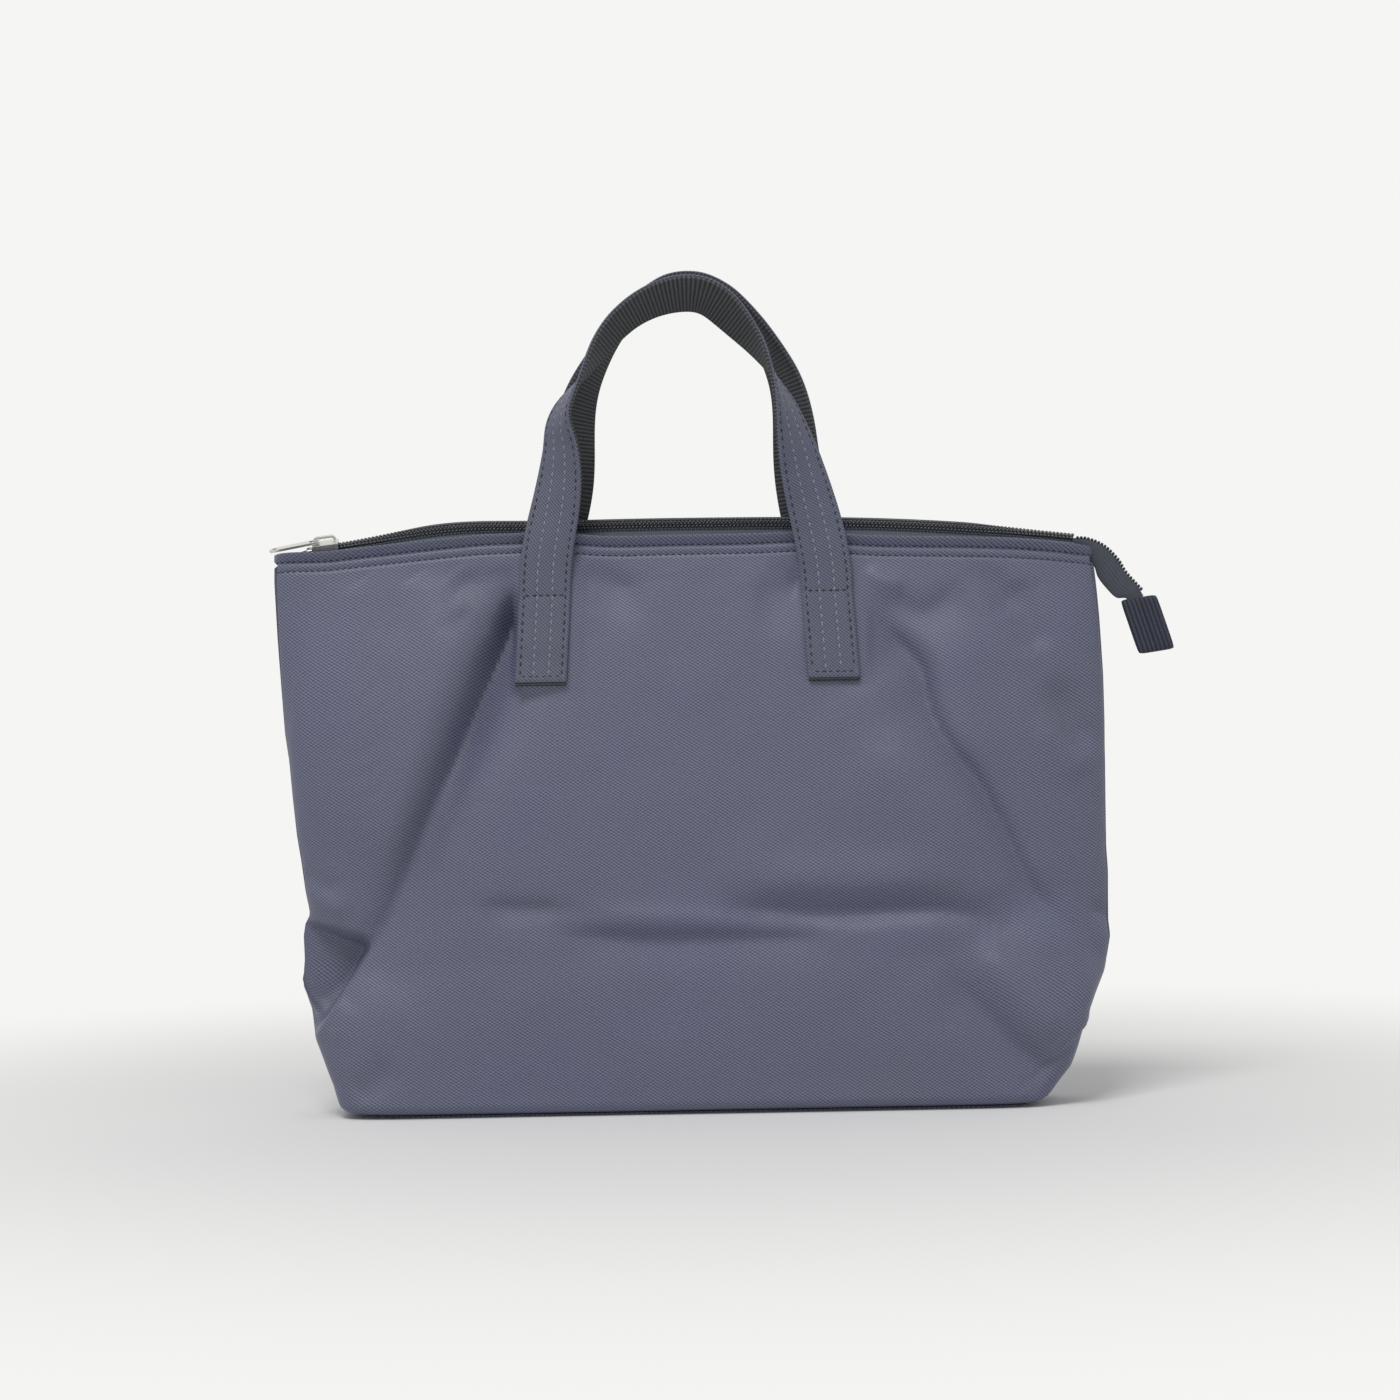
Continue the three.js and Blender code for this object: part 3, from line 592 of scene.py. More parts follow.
def panelPlace(side, folds, seed):
    rows, columns = len(rowHeights) - 1, 230

    def place(u, v):
        shares = np.linspace(0, 1, columns + 1)
        shares = shares - 0.07 * np.sin(2 * np.pi * shares)
        ring = [sectionRing(h, shares) for h in rowHeights]
        x, y, across = (np.array([r[k] for r in ring]) for k in range(3))
        z = rowHeights[:, None] * (bag["height"] - arcDrop(x)) / bag["height"]
        grid = np.stack([x, y, z], axis=2)
        normal = np.cross(np.gradient(grid, axis=1), np.gradient(grid, axis=0))
        normal[:, (0, -1), 1] = 0
        normal /= np.maximum(np.linalg.norm(normal, axis=2), 1e-9)[:, :, None]
        flatX, flatZ = x.ravel(), z.ravel()
        down = (bag["height"] - arcDrop(flatX)) - flatZ
        edge = (np.minimum(shares, 1 - shares)[None, :] * (across[:, -1:] - across[:, :1])).ravel()
        out = foldHeight(flatX, flatZ, folds) + pinchHeight(flatX, flatZ, **leftPinch)
        out += 1.1 * softNoise(flatX, flatZ, 55, seed) + 0.5 * softNoise(flatX, flatZ, 22, seed + 5)
        underStrap = smoothStep((19 - np.abs(np.abs(flatX) - strap["x"])) / 5)
        underStrap *= smoothStep((flatZ - strap["bottom"] + 7) / 7)
        out *= (1 - underStrap) * smoothStep((down - 9) / 15) * smoothStep(edge / 5) * smoothStep(flatZ / 14)
        # the hem's folded edge stands out and slopes back to the first row of stitches
        formed = hem["edgeProud"] * (1 - smoothStep(down / hem["slope"])) + hem["roll"] * bump(down, 6.4, 1.5)
        for depth in hem["stitchRows"]:
            formed -= hem["groove"] * bump(down, depth, hem["grooveWidth"])
        out += formed * smoothStep((edge - 1.5) / 6)
        # the cloth creases just above the base seam and turns under
        out += 0.4 * bump(flatZ, 5, 1.5) - 0.9 * (1 - smoothStep(flatZ / 3))
        # near the side seams the folds only push the cloth in and out, so the outline stays the seam's own
        push = normal.copy()
        push[:, :, 0] *= smoothStep((edge - 6) / 26).reshape(x.shape)
        grid += push * out.reshape(x.shape)[:, :, None]
        grid[:, :, 1] = np.minimum(grid[:, :, 1], -1.3 * smoothStep(edge / 3).reshape(x.shape))
        grid[:, :, 0] += seamMove(x, z)
        # both panels stop short of the seam's edge, where the fin between them shows
        turnedIn = seam["finShown"] * (1 - smoothStep(edge / 7)).reshape(x.shape) * finShare(x, z)
        turnedIn *= smoothStep((down - 3) / 3).reshape(x.shape)
        grid[:, :, 0] -= np.sign(x) * turnedIn
        grid[:, :, 2] += hemLift(x) * smoothStep((z - 150) / 130)
        # the base edge wanders a little along its length
        grid[:, :, 1] += 0.7 * np.sin(x / 37 + seed) * smoothStep((22 - z) / 22) * smoothStep(z / 6)
        i = np.round(u * columns).astype(int)
        j = np.round(v * rows).astype(int)
        if side > 0:
            grid[:, :, 1] *= -1
            normal[:, :, 1] *= -1
            i = columns - i
        surfaces[side] = dict(grid=grid, normal=normal, flatZ=z, across=across)
        return grid[j, i], np.stack([across[j, i], z[j, i]], axis=1)
    return columns, rows, place


for side, name, folds, seed in ((-1, "frontPanel", frontFolds, 3.1), (1, "backPanel", backFolds, 8.6)):
    piece = clothGrid(name, *panelPlace(side, folds, seed))
    thicken(piece, bag["cloth"], 0.35)
    shadeSmooth(piece, 50)
    finishPiece(piece, twill, "bag_body", [name.replace("Panel", "_panel")])
print("panels sewn")


# Base panel, let in between the turned edges, with its seam standing a little proud all round

def baseGrid(columns=120, rows=24):
    def place(u, v):
        shares = np.linspace(0, 1, columns + 1)
        x, y, _ = sectionRing(0.0, shares)
        i = np.round(u * columns).astype(int)
        inset = 1 - 0.6 / 170
        px, py = x[i] * inset, y[i] * (1 - 2 * v)
        puckered = 0.25 * softNoise(px, py, 18, 4.4)
        px = px + seamMove(px, np.zeros_like(px))
        return np.stack([px, py, 0.35 + puckered * smoothStep((20 - np.abs(py)) / 6)], axis=1), \
            np.stack([px, py], axis=1)
    return columns, rows, place


basePanel = clothGrid("basePanel", *baseGrid())
thicken(basePanel, bag["cloth"])
closeUp(basePanel)
shadeSmooth(basePanel)
finishPiece(basePanel, twill, "bag_body", ["base_panel"])


# Stitches: one stitch is shaped once and copied along a row

def makeStitch(length, thick):
    deselectAll()
    bpy.ops.mesh.primitive_uv_sphere_add(segments=8, ring_count=6, radius=1)
    obj = bpy.context.object
    bpy.ops.object.mode_set(mode="EDIT")
    bpy.ops.transform.rotate(value=math.pi / 2, orient_axis="Y", center_override=(0, 0, 0))
    bpy.ops.transform.resize(value=(length / 2, thick / 2, thick / 2), center_override=(0, 0, 0))
    bpy.ops.object.mode_set(mode="OBJECT")
    points = pointsOf(obj)
    points[:, 2] -= 0.7 * thick * (points[:, 0] / (length / 2)) ** 2  # both ends go down into the cloth
    obj.data.vertices.foreach_set("co", points.ravel())
    return obj


def placesAlong(points, normals, pitch, proud=0.0, start=0.0, stop=0.0):
    # a place every pitch of the way along a line on a surface
    way = wayAlong(points)
    count = max(int((way[-1] - start - stop) / pitch), 1)
    at = start + pitch * (np.arange(count) + 0.5)
    mid, before, after = (rowsAt(s, way, points) for s in (at, at - 1, at + 1))
    out = rowsAt(at, way, normals)
    return [placeMatrix(m + proud * n, b - a, n) for m, a, b, n in zip(mid, before, after, out)]


def hemRow(side, down, margin=0):
    s = surfaces[side]
    columns = s["grid"].shape[1]
    points, normals = [], []
    for i in range(margin, columns - margin):
        z = s["flatZ"][:, i]
        level = z[-1] - down
        points.append([np.interp(level, z, s["grid"][:, i, k]) for k in range(3)])
        normals.append([np.interp(level, z, s["normal"][:, i, k]) for k in range(3)])
    return np.array(points), np.array(normals)


def seamLine(side, right):
    # the panel's turned edge, bottom to top, and how much of the fin shows beyond it
    s = surfaces[side]
    column = -1 if right else 0
    z = s["flatZ"][:, column]
    rows = (z > 70) & (z < z[-1] - 4)
    edge = s["grid"][rows, column]
    return edge, finShare(np.full(len(edge), 1.0 if right else -1.0), z[rows])


def finPlace(right):
    edge, shown = seamLine(-1, right)
    outward = 1 if right else -1

    def place(u, v):
        at = v * (len(edge) - 1)
        x, y, z, share = (np.interp(at, np.arange(len(edge)), row) for row in (*edge.T, shown))
        share = share * smoothStep((1 - v) / 0.03)
        turn = 2 * np.pi * u
        across = np.sign(np.cos(turn)) * np.abs(np.cos(turn)) ** 0.4 * seam["finWidth"] / 2
        thick = np.sign(np.sin(turn)) * np.abs(np.sin(turn)) ** 0.6 * seam["finThick"] / 2
        thick *= 1 + 0.12 * np.sin(z / 1.9)
        centre = x + outward * (seam["finShown"] - seam["finWidth"] / 2) * share
        return np.stack([centre + outward * across * share, y - outward * thick * share, z], axis=1), \
            np.stack([seam["finWidth"] * 2.4 * u, z], axis=1)
    return place


def seamStitchRow(side, right):
    edge, shown = seamLine(side, right)
    edge = edge[shown > 0.6]
    outward = 1 if right else -1
    points = edge + np.array([outward * seam["stitchOut"], side * (seam["finThick"] / 2 + 0.2), 0])
    return points, np.tile([0.0, side, 0.0], (len(points), 1))


# the left fin takes the darker, greener zip-tape cloth and the right fin the twill: the left fin's darker
# cloth is painted shade, for the shade it stands in seen edge-on
for right, name, material in ((False, "leftSeamFin", tapeWeave), (True, "rightSeamFin", twill)):
    fin = clothGrid(name, 20, 150, finPlace(right))
    closeUp(fin, 0.01)
    shadeSmooth(fin)
    finishPiece(fin, material, "bag_body", [name.replace("SeamFin", "_side_seam_binding")])

hemStitch = makeStitch(2.8, 0.6)
seamStitch = makeStitch(2.9, 0.95)
for side, name in ((-1, "front"), (1, "back")):
    places = []
    for down in hem["stitchRows"]:
        places += placesAlong(*hemRow(side, down, 3), pitch=3.2, proud=0.05)
    row = copiesOf(name + "HemStitches", hemStitch, places)
    finishPiece(row, darkThread, "bag_body")
    places = []
    for right in (False, True):
        places += placesAlong(*seamStitchRow(side, right), pitch=seam["stitchPitch"])
    row = copiesOf(name + "SeamStitches", seamStitch, places)
    finishPiece(row, darkThread, "bag_body")
for used in (hemStitch, seamStitch):
    bpy.data.objects.remove(used)
print("hems and side seams stitched")


# Zip: everything on it is laid by its distance along the arc, e across it and n up out of it

zipper = dict(endTilt=24, tilt=45, half=3.0, high=1.3, pitch=1.9, tape=0.6, shoulder=6.2, sewn=9, inset=1.8)
zipper["tapeLevel"] = -zipper["high"] - 0.3 - zipper["tape"] / 2


def onZip(along, e, n):
    # the chain lies tipped towards the front, most of all between the handles' legs
    along, e, n = np.broadcast_arrays(np.asarray(along, float), e, n)
    middle = smoothStep((along + 182) / 55) * smoothStep((182 - along) / 45)
    tilt = np.radians(mix(zipper["endTilt"], zipper["tilt"], middle))
    y = e * np.cos(tilt) - n * np.sin(tilt)
    # it stands a little high left of the handle, where the cloth is slack, and sags a little in the middle
    radius = zipRadius + e * np.sin(tilt) + n * np.cos(tilt)
    radius = radius + 3 * bump(along, -122, 38) - 1.5 * bump(along, 12, 80)
    turn = along / zipRadius
    return np.stack([radius * np.sin(turn), y, zipCentre + radius * np.cos(turn)], axis=-1)


def tapePlace(side):
    def place(u, v):
        along = mix(-zipHalf - 13.5, zipHalf, u)
        x = zipRadius * np.sin(along / zipRadius)
        hemTop = bag["height"] - arcDrop(x)
        sewnShare = np.clip(v / 0.3, 0, 1)
        behind, _ = frontOffset(x, hemTop - 0.3 - zipper["sewn"] * (1 - sewnShare), -zipper["inset"])
        behind[:, 1] *= -side
        behind[:, 2] += hemLift(x)
        narrow = 1 - 0.6 * smoothStep((-along - zipHalf + 2) / 14)
        shoulder = onZip(along, side * zipper["shoulder"] * narrow, zipper["tapeLevel"])
        inner = onZip(along, side * 0.5 * np.ones_like(u), zipper["tapeLevel"])
        rise = np.clip((v - 0.3) / 0.4, 0, 1)[:, None]
        flat = np.clip((v - 0.7) / 0.3, 0, 1)[:, None]
        points = behind + (shoulder - behind) * rise
        points[:, 1] += side * 1.4 * np.sin(rise[:, 0] * np.pi)
        points += (inner - shoulder) * flat
        curl = smoothStep((-along - zipHalf - 1) / 12)
        points[:, 2] -= 4 * curl ** 2 * flat[:, 0] + 1.5 * curl * rise[:, 0]
        width = zipper["sewn"] + 14
        return points, np.stack([along, v * width], axis=1)
    return place


def facingPlace(side, deep=13, short=10):
    def place(u, v):
        x = mix(-zipHalf + short, zipHalf - short, u)
        points, _ = frontOffset(x, bag["height"] - arcDrop(x) - 0.3 - deep * (1 - v), -2.4)
        return points * [1, -side, 1], np.stack([mix(-185, 185, u), deep * v], axis=1)
    return place


for side, name in ((-1, "front"), (1, "back")):
    tape = clothGrid(name + "ZipTape", 200, 30, tapePlace(side))
    if side > 0:
        editMesh(tape, (bpy.ops.mesh.flip_normals, {}))
    thicken(tape, zipper["tape"])
    shadeSmooth(tape)
    finishPiece(tape, tapeWeave, "bag_body", [name + "_zip_tape"])

    facing = clothGrid(name + "HemFacing", 120, 8, facingPlace(side))
    thicken(facing, 0.8)
    closeUp(facing)
    shadeSmooth(facing)
    finishPiece(facing, liningCloth, "bag_body", [name + "_hem_facing"])


def makeTooth():
    # one turn of the coil: a loop across the tape with a rounded head at each end
    deselectAll()
    beads = []
    for y, z, size in ((1.0, -0.1, (0.94, 0.8, 0.85)), (-0.9, 0.2, (0.84, 0.8, 0.8))):
        bpy.ops.mesh.primitive_uv_sphere_add(segments=8, ring_count=5, radius=1)
        bead = bpy.context.object
        points = pointsOf(bead) * size + [0.16 * y, y, z]
        bead.data.vertices.foreach_set("co", points.ravel())
        beads.append(bead)
    return joinTo(beads[0], beads[1:])


def zipFrame(along, e=0.0, n=0.0):
    across = Vector(onZip(along, 1, 0) - onZip(along, 0, 0))
    out = Vector(onZip(along, 0, 1) - onZip(along, 0, 0))
    return axesMatrix(across.cross(out), across, out, onZip(along, e, n))


tooth = makeTooth()
chainStart = -zipHalf + 3.3
toothCount = int((zipHalf - chainStart) / zipper["pitch"])
for side, name in ((-1, "front"), (1, "back")):
    places = []
    for k in range(toothCount):
        along = chainStart + zipper["pitch"] * (k + 0.5 + (0.5 if side > 0 else 0))
        place = zipFrame(along, side * 1.55, 0)
        places.append(place @ Matrix.Diagonal((1, side, 1, 1)))
    coil = copiesOf(name + "ZipCoil", tooth, places)
    if side < 0:
        closeUp(coil, 0.001)
    finishPiece(coil, coilNylon, "bag_body", [name + "_zip_coil"])
print("zip laid")


# Zip tail: the two tapes folded together under the last of the coil, then tucked into the end tab

tailTurn = (zipHalf + 0.6) / zipRadius
tail = dict(x=zipRadius * math.sin(tailTurn), z=zipCentre + zipRadius * math.cos(tailTurn),
            lean=math.radians(18), tabWidth=19, tabLength=29, tabThick=5.2, puff=2.3)
tail["tabX"], tail["tabZ"] = tail["x"] + 24.5 + tail["tabWidth"] * 0.35, tail["z"] - 31.2


def tabPoint(across, down):
    # the tab leans out, and its ends stay nearer level because it is turned a little
    c, s = math.cos(tail["lean"]), math.sin(tail["lean"])
    return tail["tabX"] + across * 0.97 + down * s, tail["tabZ"] + across * 0.14 - down * c


hemCorner = bag["height"] - arcDrop(bag["mouthWidth"] / 2)
outerEdge, outerWay = smoothLine([(tail["x"] + dx, tail["z"] + dz) for dx, dz in (
    (-2, 0.2), (6, -0.4), (14.5, -4.2), (21.5, -11.2), (26, -18.5))] + [tabPoint(5, -1.3)])
innerEdge, innerWay = smoothLine([
    (tail["x"] - 2, hemCorner + 1), (203, hemCorner - 3.5), (206, hemCorner - 10.5), (210, hemCorner - 16),
    (215, hemCorner - 21), tabPoint(-6.5, -0.5), tabPoint(-5.2, 3)])


def alongEdge(edge, way, share):
    return rowsAt(share * way[-1], way, edge)


def tailPlace(u, v):
    outer = alongEdge(outerEdge, outerWay, v)
    inner = alongEdge(innerEdge, innerWay, v)
    # the tape leaves the coil's end and narrows to a neck above the tab
    neck = smoothStep((v - 0.86) / 0.14)
    turn = 2 * np.pi * u
    share = 0.5 + 0.5 * np.cos(turn)
    lower = mix(0, 0.05, neck)
    upper = mix(0.93, 0.8, neck)
    at = inner + (outer - inner) * mix(lower, upper, share)[:, None]
    thick = tail["puff"] * np.abs(np.sin(turn)) ** 0.8 * np.sign(np.sin(turn))
    thick *= mix(1, 0.55, smoothStep((0.2 - v) / 0.2)) * mix(1, 0.62, neck) * (0.9 + 0.2 * np.cos(turn))
    ripple = 0.16 * np.sin(v * 34 + 3 * share) * np.sin(turn)
    return np.stack([at[:, 0], thick + ripple, at[:, 1]], axis=1), np.stack([u * 26, v * 46], axis=1)


tailTape = clothGrid("zipTailTape", 28, 60, tailPlace)
closeUp(tailTape, 0.03)
editMesh(tailTape, (bpy.ops.mesh.select_all, dict(action="DESELECT")),
         (bpy.ops.mesh.select_non_manifold, {}), (bpy.ops.mesh.edge_face_add, {}))
shadeSmooth(tailTape, 60)
# the tail's tape takes the darker copy of the tape cloth, which is painted shade
finishPiece(tailTape, tailTapeShadedWeave, "zip_tail", ["zip_tail_tape"])

places = []
for k in range(int((outerWay[-1] - 4) / zipper["pitch"])):
    share = (3 + zipper["pitch"] * k) / outerWay[-1]
    here, there = alongEdge(outerEdge, outerWay, np.array([share, share + 0.01]))
    heading = Vector((there[0] - here[0], 0, there[1] - here[1])).normalized()
    out = Vector((-heading.z, 0, heading.x))
    m = axesMatrix(heading, out.cross(heading), out, Vector((here[0], 0, here[1])) - out * 0.55)
    places.append(m @ Matrix.Diagonal((0.9, 0.9, 0.8, 1)))
tailCoil = copiesOf("zipTailCoil", tooth, places)
closeUp(tailCoil, 0.001)
finishPiece(tailCoil, coilNylon, "zip_tail", ["zip_tail_coil"])
bpy.data.objects.remove(tooth)


def tabPlace(front):
    def place(u, v):
        # a soft flat tab: plain on one side of its middle, four stitched ribs on the other
        a, b = 2 * u - 1, 2 * v - 1
        corner = 0.09
        squareA = a * np.sqrt(np.maximum(1 - corner * b ** 8, 0))
        squareB = b * np.sqrt(np.maximum(1 - corner * a ** 8, 0))
        across, down = squareA * tail["tabWidth"] / 2, (squareB + 1) * tail["tabLength"] / 2
        shut = (1 - np.abs(a) ** 7) ** 0.42 * (1 - np.abs(b) ** 12) ** 0.42
        thick = 0.5 * tail["tabThick"] * shut
        ribs = 0.5 * np.abs(np.sin(np.pi * (across - 0.6) / 2.2)) * smoothStep(across / 0.8)
        thick += (ribs - 0.35 * bump(across, 0.2, 0.5)) * smoothStep(shut * 3 - 0.6)
        thick -= 1.1 * smoothStep(-across / 7) * smoothStep(shut * 3 - 0.6)
        thick -= 0.25 * bump(across, -8, 0.6) * smoothStep(shut * 3 - 0.6)
        x, z = tabPoint(across, down)
        return np.stack([x, (-1 if front else 1) * thick, z], axis=1), np.stack([across, down], axis=1)
    return place


tab = clothGrid("zipTailTab", 76, 60, tabPlace(True))
tabBack = clothGrid("zipTailTabBack", 76, 60, tabPlace(False))
joinTo(tab, [tabBack])
closeUp(tab, 0.03)
shadeSmooth(tab, 60)
finishPiece(tab, tabWebbing, "zip_tail", ["zip_tail_tab"])
print("zip tail folded")


# Handles: webbing faced with cloth, from one sewn end up through the twisting loop to the other

loop = dict(tuckShare=0.72, apexY=14, hingeGap=0.5, lean=1.4, shift=-2.8)
loops = {
    "front": dict(side=-1, rise=150, tilt=math.radians(125), tuck=2, twistSpan=(66, 74), edgeOn=0.1,
                  pulled=dict(middle=-5, middleWidth=0.1, crown=-3, foot=1, right=-6.5, rightReach=0.6)),
    "back": dict(side=1, rise=158.5, tilt=math.radians(72), tuck=6, twistSpan=(62, 62), edgeOn=-0.08,
                 pulled=dict(middle=-1.2, middleWidth=0.2, crown=2.2, foot=0.8, right=-2.4, rightReach=0.25))}
strapThick = strap["webbing"] + strap["gap"] + strap["cover"]
leg, _ = frontOffset(np.array([strap["x"]]), np.array([strap["top"]]), strap["gap"] + strapThick / 2)
legTop, _ = frontOffset(np.array([strap["x"]]), np.array([strap["top"]]), strap["gap"] + strapThick)
loop["legY"], loop["hingeZ"] = leg[0, 1], legTop[0, 2] + loop["hingeGap"]


def unit(rows):
    return rows / np.linalg.norm(rows, axis=1)[:, None]


def legLean(x0, z):
    # the sewn ends slant a little towards the middle as they rise
    rise = np.clip((z - strap["bottom"]) / (strap["top"] - strap["bottom"]), 0, 1)
    return loop["shift"] + np.sign(-x0) * loop["lean"] * (2 * rise - 1)


def strapLine(rise, tilt, tuck, twistSpan, pulled, edgeOn, **_):
    # centre line, face and width directions of a front strap, evenly spaced from left end to right end
    angle = np.pi * (1 - np.linspace(0.0002, 0.9998, 900))

    def at(angle):
        share = np.sin(angle)
        drawnIn = tuck * np.sin(np.pi * np.clip(share / loop["tuckShare"], 0, 1)) ** 2
        outward = np.sign(np.cos(angle))
        x = outward * (strap["x"] * np.abs(np.cos(angle)) - drawnIn)
        top = np.full_like(x, strap["top"])
        x = x + legLean(x, top) * (1 - smoothStep(share / 0.9))
        # the loop hangs over to the left, and its crown is narrower than a half ellipse
        crown = smoothStep(np.abs(np.cos(angle)) / 0.5)
        leftPull = pulled["middle"] * bump(share, 0.6, pulled["middleWidth"])
        leftPull = leftPull + pulled["crown"] * smoothStep((share - 0.2) / 0.75) * crown
        leftPull = leftPull + pulled["foot"] * bump(share, 0.32, 0.13)
        rightPull = pulled["right"] * smoothStep(share / pulled["rightReach"]) * crown
        x = x + np.where(outward < 0, leftPull, rightPull)
        return np.stack([x, mix(loop["legY"], -loop["apexY"], smoothStep(share)),
                         loop["hingeZ"] + rise * share], axis=1)

    centre = at(angle)
    along = at(angle - 0.001) - at(angle + 0.001)
    inward = unit(np.stack([along[:, 2], 0 * angle, -along[:, 0]], axis=1))
    span = np.radians(np.where(np.cos(angle) < 0, *twistSpan))
    twist = tilt * smoothStep(np.minimum(angle, np.pi - angle) / span)
    twist = twist * (1 - edgeOn * smoothStep(-np.cos(angle) / 0.5))
    front = np.array([0, -1, 0])
    face = front * np.cos(twist)[:, None] - inward * np.sin(twist)[:, None]
    width = inward * np.cos(twist)[:, None] + front * np.sin(twist)[:, None]
    z = np.linspace(strap["bottom"], strap["top"], 120)
    parts = []
    for x0 in (-strap["x"], strap["x"]):
        points, normals = frontOffset(np.full_like(z, x0), z, strap["gap"] + strapThick / 2)
        points[:, 0] += legLean(x0, z)
        normals[:, 0] = 0
        across = np.tile([1.0 if x0 < 0 else -1.0, 0, 0], (len(z), 1))
        step = slice(None) if x0 < 0 else slice(None, None, -1)
        parts.append((points[step], unit(normals)[step], across))
    line = np.vstack([parts[0][0], centre, parts[1][0]])
    way = wayAlong(line)
    return dict(line=line, way=way, length=way[-1], face=np.vstack([parts[0][1], face, parts[1][1]]),
                width=np.vstack([parts[0][2], width, parts[1][2]]))


def onStrap(run, way, across, height):
    at, face, width = (rowsAt(way, run["way"], run[key]) for key in ("line", "face", "width"))
    face = unit(face)
    width = unit(width - face * np.sum(face * width, axis=1)[:, None])
    return at + width * np.asarray(across)[:, None] + face * np.asarray(height)[:, None], face


strapRows = (-10.4, -3.8, 3.8, 10.4)
crossStitch, endStitch = 45.6, 4.6
coverTop = strapThick / 2


def coverPlace(u, v, run):
    side = 2 * u - 1
    across = strap["width"] / 2 * (side - 0.03 * np.sin(2 * np.pi * side))
    beyond = np.clip(np.abs(across) - strap["width"] / 2 + 1.1, 0, 1.1) / 1.1
    height = coverTop - 1.0 * (1 - np.sqrt(np.maximum(1 - beyond ** 2, 0)))
    for row in strapRows:
        height -= 0.3 * bump(across, row, 0.8)
    short = strap["coverShort"]
    way = mix(short, run["length"] - short, v)
    height += 0.12 * np.sin(way / 3.4 + 2 * np.sin(way / 19)) * (1 - beyond)
    fromEnd = np.minimum(way, run["length"] - way) - short
    height -= 0.3 * bump(fromEnd, crossStitch - short, 0.9) + 0.3 * bump(fromEnd, endStitch - short, 0.9)
    height -= 0.8 * (1 - np.sqrt(1 - np.clip(1 - fromEnd / 1.2, 0, 1) ** 2))
    height += 0.8 * (1 - smoothStep(fromEnd / 5))
    points, _ = onStrap(run, way, across, height)
    return points, np.stack([across, way], axis=1)


def webbingPlace(u, v, run):
    across = (strap["width"] / 2 - 0.35) * (2 * u - 1)
    way = mix(0.1, run["length"] - 0.1, v)
    points, _ = onStrap(run, way, across, np.full_like(u, coverTop - strap["cover"] - 0.05))
    return points, np.stack([across, way], axis=1)


def strapStitches(name, stitch, run, rows, crosses):
    places = []
    for row in rows:
        way = np.linspace(endStitch, run["length"] - endStitch, 700)
        level = np.full_like(way, coverTop - strap["rowSunk"])
        points, out = onStrap(run, way, np.full_like(way, row), level)
        places += placesAlong(points, out, strap["rowPitch"])
    for way in crosses:
        across = np.linspace(strapRows[0], strapRows[3], 30)
        level = np.full_like(across, coverTop - strap["crossSunk"])
        points, out = onStrap(run, np.full_like(across, way), across, level)
        places += placesAlong(points, out, strap["crossPitch"])
    return copiesOf(name, stitch, places)


def mirrorToBack(obj):
    across = dict(constraint_axis=(False, True, False), center_override=(0, 0, 0))
    editMesh(obj, (bpy.ops.transform.mirror, across), (bpy.ops.mesh.flip_normals, {}))


strapStitch = makeStitch(3.1, 0.9)
for name, shape in loops.items():
    run = strapLine(**shape)
    cover = clothGrid(name + "StrapCover", 52, 300, lambda u, v: coverPlace(u, v, run))
    thicken(cover, strap["cover"])
    webbing = clothGrid(name + "StrapWebbing", 16, 260, lambda u, v: webbingPlace(u, v, run))
    thicken(webbing, strap["webbing"], 0.4)
    ends = (crossStitch, endStitch, run["length"] - crossStitch, run["length"] - endStitch)
    edgeStitches = strapStitches(name + "StrapEdgeStitches", strapStitch, run, strapRows[::3], ends)
    midStitches = strapStitches(name + "StrapMidStitches", strapStitch, run, strapRows[1:3], ())
    handle = name + "_handle"
    for piece, material, replaced, slot in (
            (cover, strapTwill, [handle + end for end in ("_cover", "_left_end", "_right_end")], "navy_twill"),
            (webbing, ribbedWebbing, [handle + "_webbing"], "black_webbing"),
            (edgeStitches, darkThread, (), "navy_twill"), (midStitches, greyThread, (), "navy_twill")):
        if shape["side"] > 0:
            mirrorToBack(piece)
        shadeSmooth(piece, 50)
        finishPiece(piece, material, None, replaced)
        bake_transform(piece)
bpy.data.objects.remove(strapStitch)
print("handles sewn on")


# The zip's metal, and the bindings inside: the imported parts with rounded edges

metalParts = ("zip_slider", "zip_pull", "front_top_stop", "back_top_stop")
bindings = [n for n in nodes if "binding" in n]
for name in list(metalParts) + bindings:
    node = nodes[name]
    weld = node.modifiers.new("weld", "WELD")
    weld.merge_threshold = 0.01 * mm
    edges = node.modifiers.new("edges", "BEVEL")
    edges.width = (0.35 if name in metalParts else 0.5) * mm
    edges.segments = 3
    edges.limit_method = "ANGLE"
    edges.angle_limit = math.radians(35)
    node.data.materials.clear()
    outer = twill if name.startswith("base") else ribbedWebbing
    node.data.materials.append(plated if name in metalParts else outer)
print("metal finished")


# Floor and soft studio light

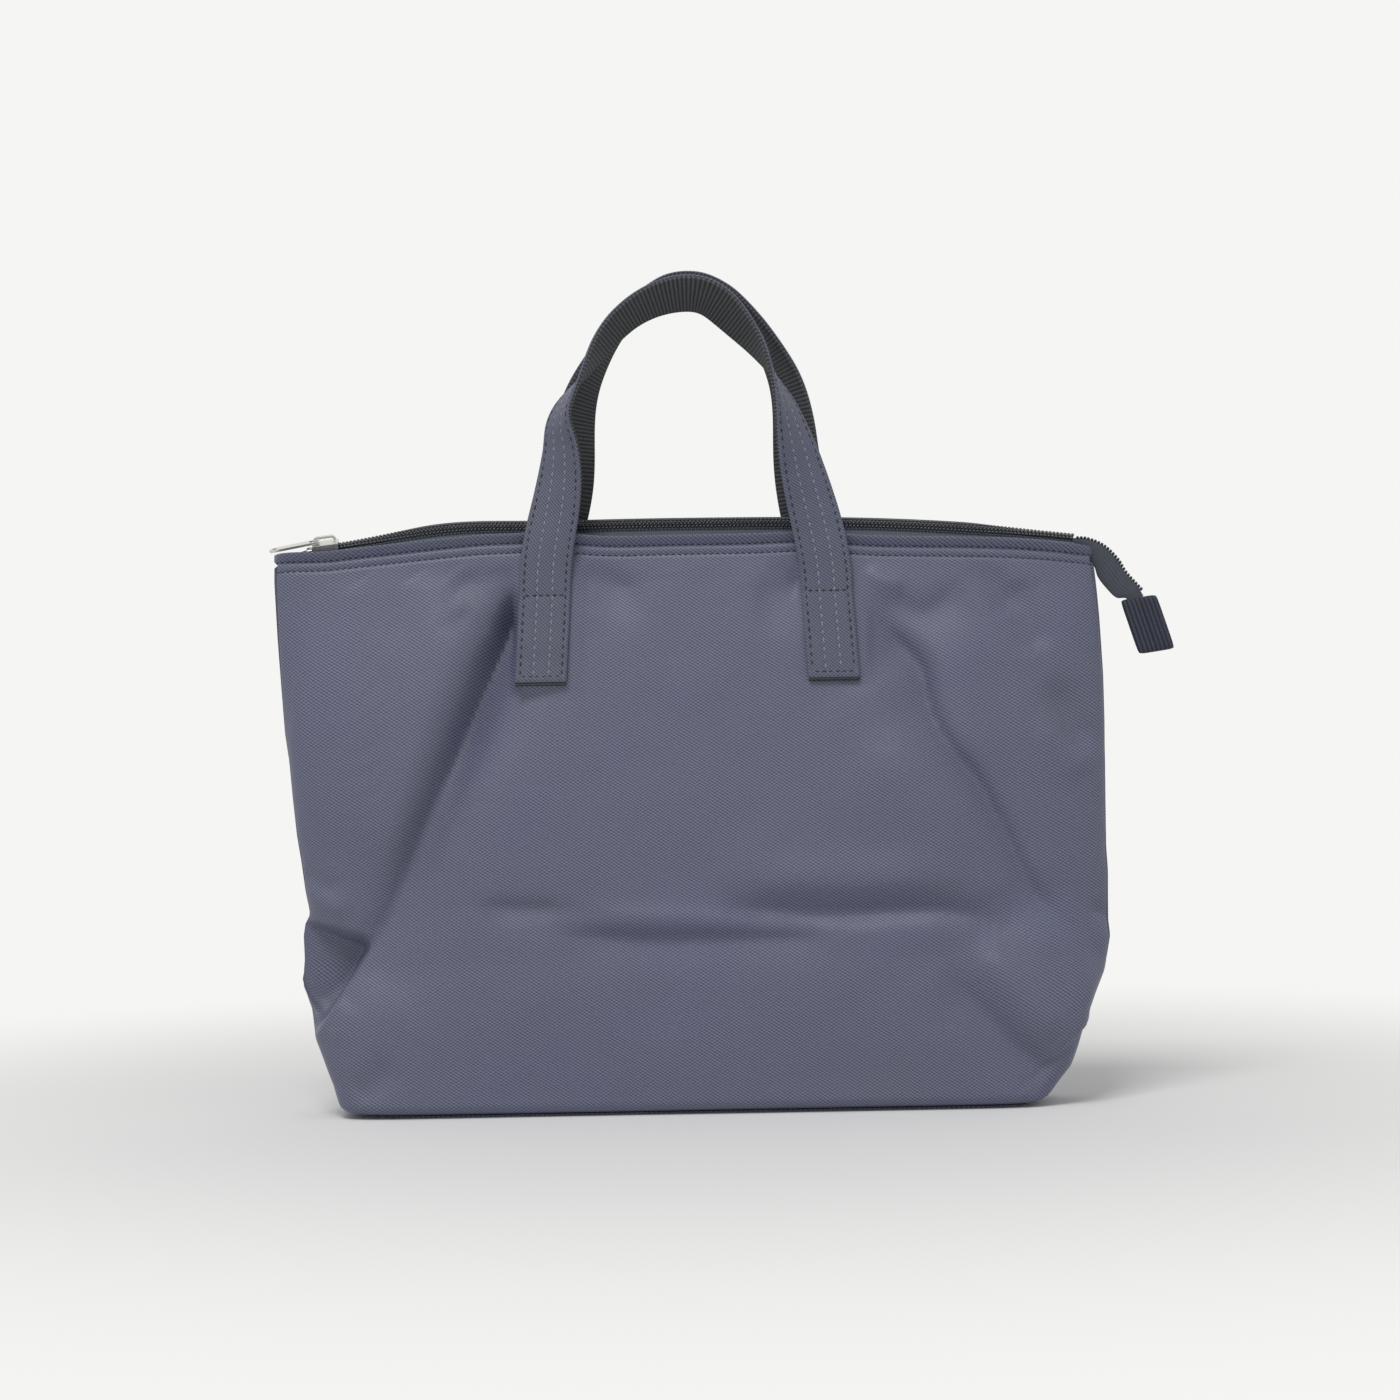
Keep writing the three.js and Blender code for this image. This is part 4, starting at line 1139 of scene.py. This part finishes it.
floorSize = 40
deselectAll()
bpy.ops.mesh.primitive_plane_add(size=floorSize, location=(0, 0, -0.0006))
floor = bpy.context.object
floor.name = "studioFloor"
floorPaint, floorTree, floorShader = newMaterial("paleStudioFloor", Roughness=0.9, Specular_IOR_Level=0.1)
floorShader.inputs["Base Color"].default_value = srgb("#f6f6f5")
backdropColour = srgb("#f5f5f3")
reach = addNode(floorTree, "ShaderNodeVectorMath", {0: objectPlace(floorTree)}, operation="LENGTH")
far = addNode(floorTree, "ShaderNodeMapRange", {
    "Value": reach.outputs["Value"], "From Min": 0.2, "From Max": 0.75}, interpolation_type="SMOOTHSTEP")
seen = addNode(floorTree, "ShaderNodeLightPath").outputs["Is Camera Ray"]
share = addNode(floorTree, "ShaderNodeMath", {0: far.outputs[0], 1: seen}, operation="MULTIPLY")
plain = addNode(floorTree, "ShaderNodeEmission", {"Color": backdropColour, "Strength": 1.0})
blended = addNode(floorTree, "ShaderNodeMixShader", {
    0: share.outputs[0], 1: floorShader.outputs[0], 2: plain.outputs[0]})
floorTree.links.new(blended.outputs[0], floorTree.nodes["Material Output"].inputs["Surface"])
floor.data.materials.append(floorPaint)

studio = dict(sky=0.44, key=47.0, keyPlace=(-0.6, -1.8, 2.9), keySize=1.2)
world = bpy.data.worlds.new("studioSky")
bpy.context.scene.world = world
world.use_nodes = True
worldTree = world.node_tree
sky = worldTree.nodes["Background"]
sky.inputs["Color"].default_value = (1, 1, 1, 1)
sky.inputs["Strength"].default_value = studio["sky"]
shown = addNode(worldTree, "ShaderNodeBackground", {"Color": backdropColour, "Strength": 1.0})
path = addNode(worldTree, "ShaderNodeLightPath")
mirrored = addNode(worldTree, "ShaderNodeMath", {
    0: path.outputs["Is Glossy Ray"], 1: path.outputs["Is Transmission Ray"]}, operation="MAXIMUM")
direct = addNode(worldTree, "ShaderNodeMath", {
    0: path.outputs["Is Camera Ray"], 1: mirrored.outputs[0]}, operation="MAXIMUM")
both = addNode(worldTree, "ShaderNodeMixShader", {
    0: direct.outputs[0], 1: sky.outputs[0], 2: shown.outputs[0]})
worldTree.links.new(both.outputs[0], worldTree.nodes["World Output"].inputs["Surface"])

bpy.ops.object.light_add(type="AREA", location=studio["keyPlace"])
key = bpy.context.object
key.name = "softKey"
key.data.size = studio["keySize"]
key.data.energy = studio["key"]
aim = Vector((0, 0, 0.18)) - Vector(studio["keyPlace"])
key.rotation_mode = "QUATERNION"
key.rotation_quaternion = aim.to_track_quat("-Z", "Y")

bpy.context.scene.view_settings.view_transform = "Standard"
print("scene ready")
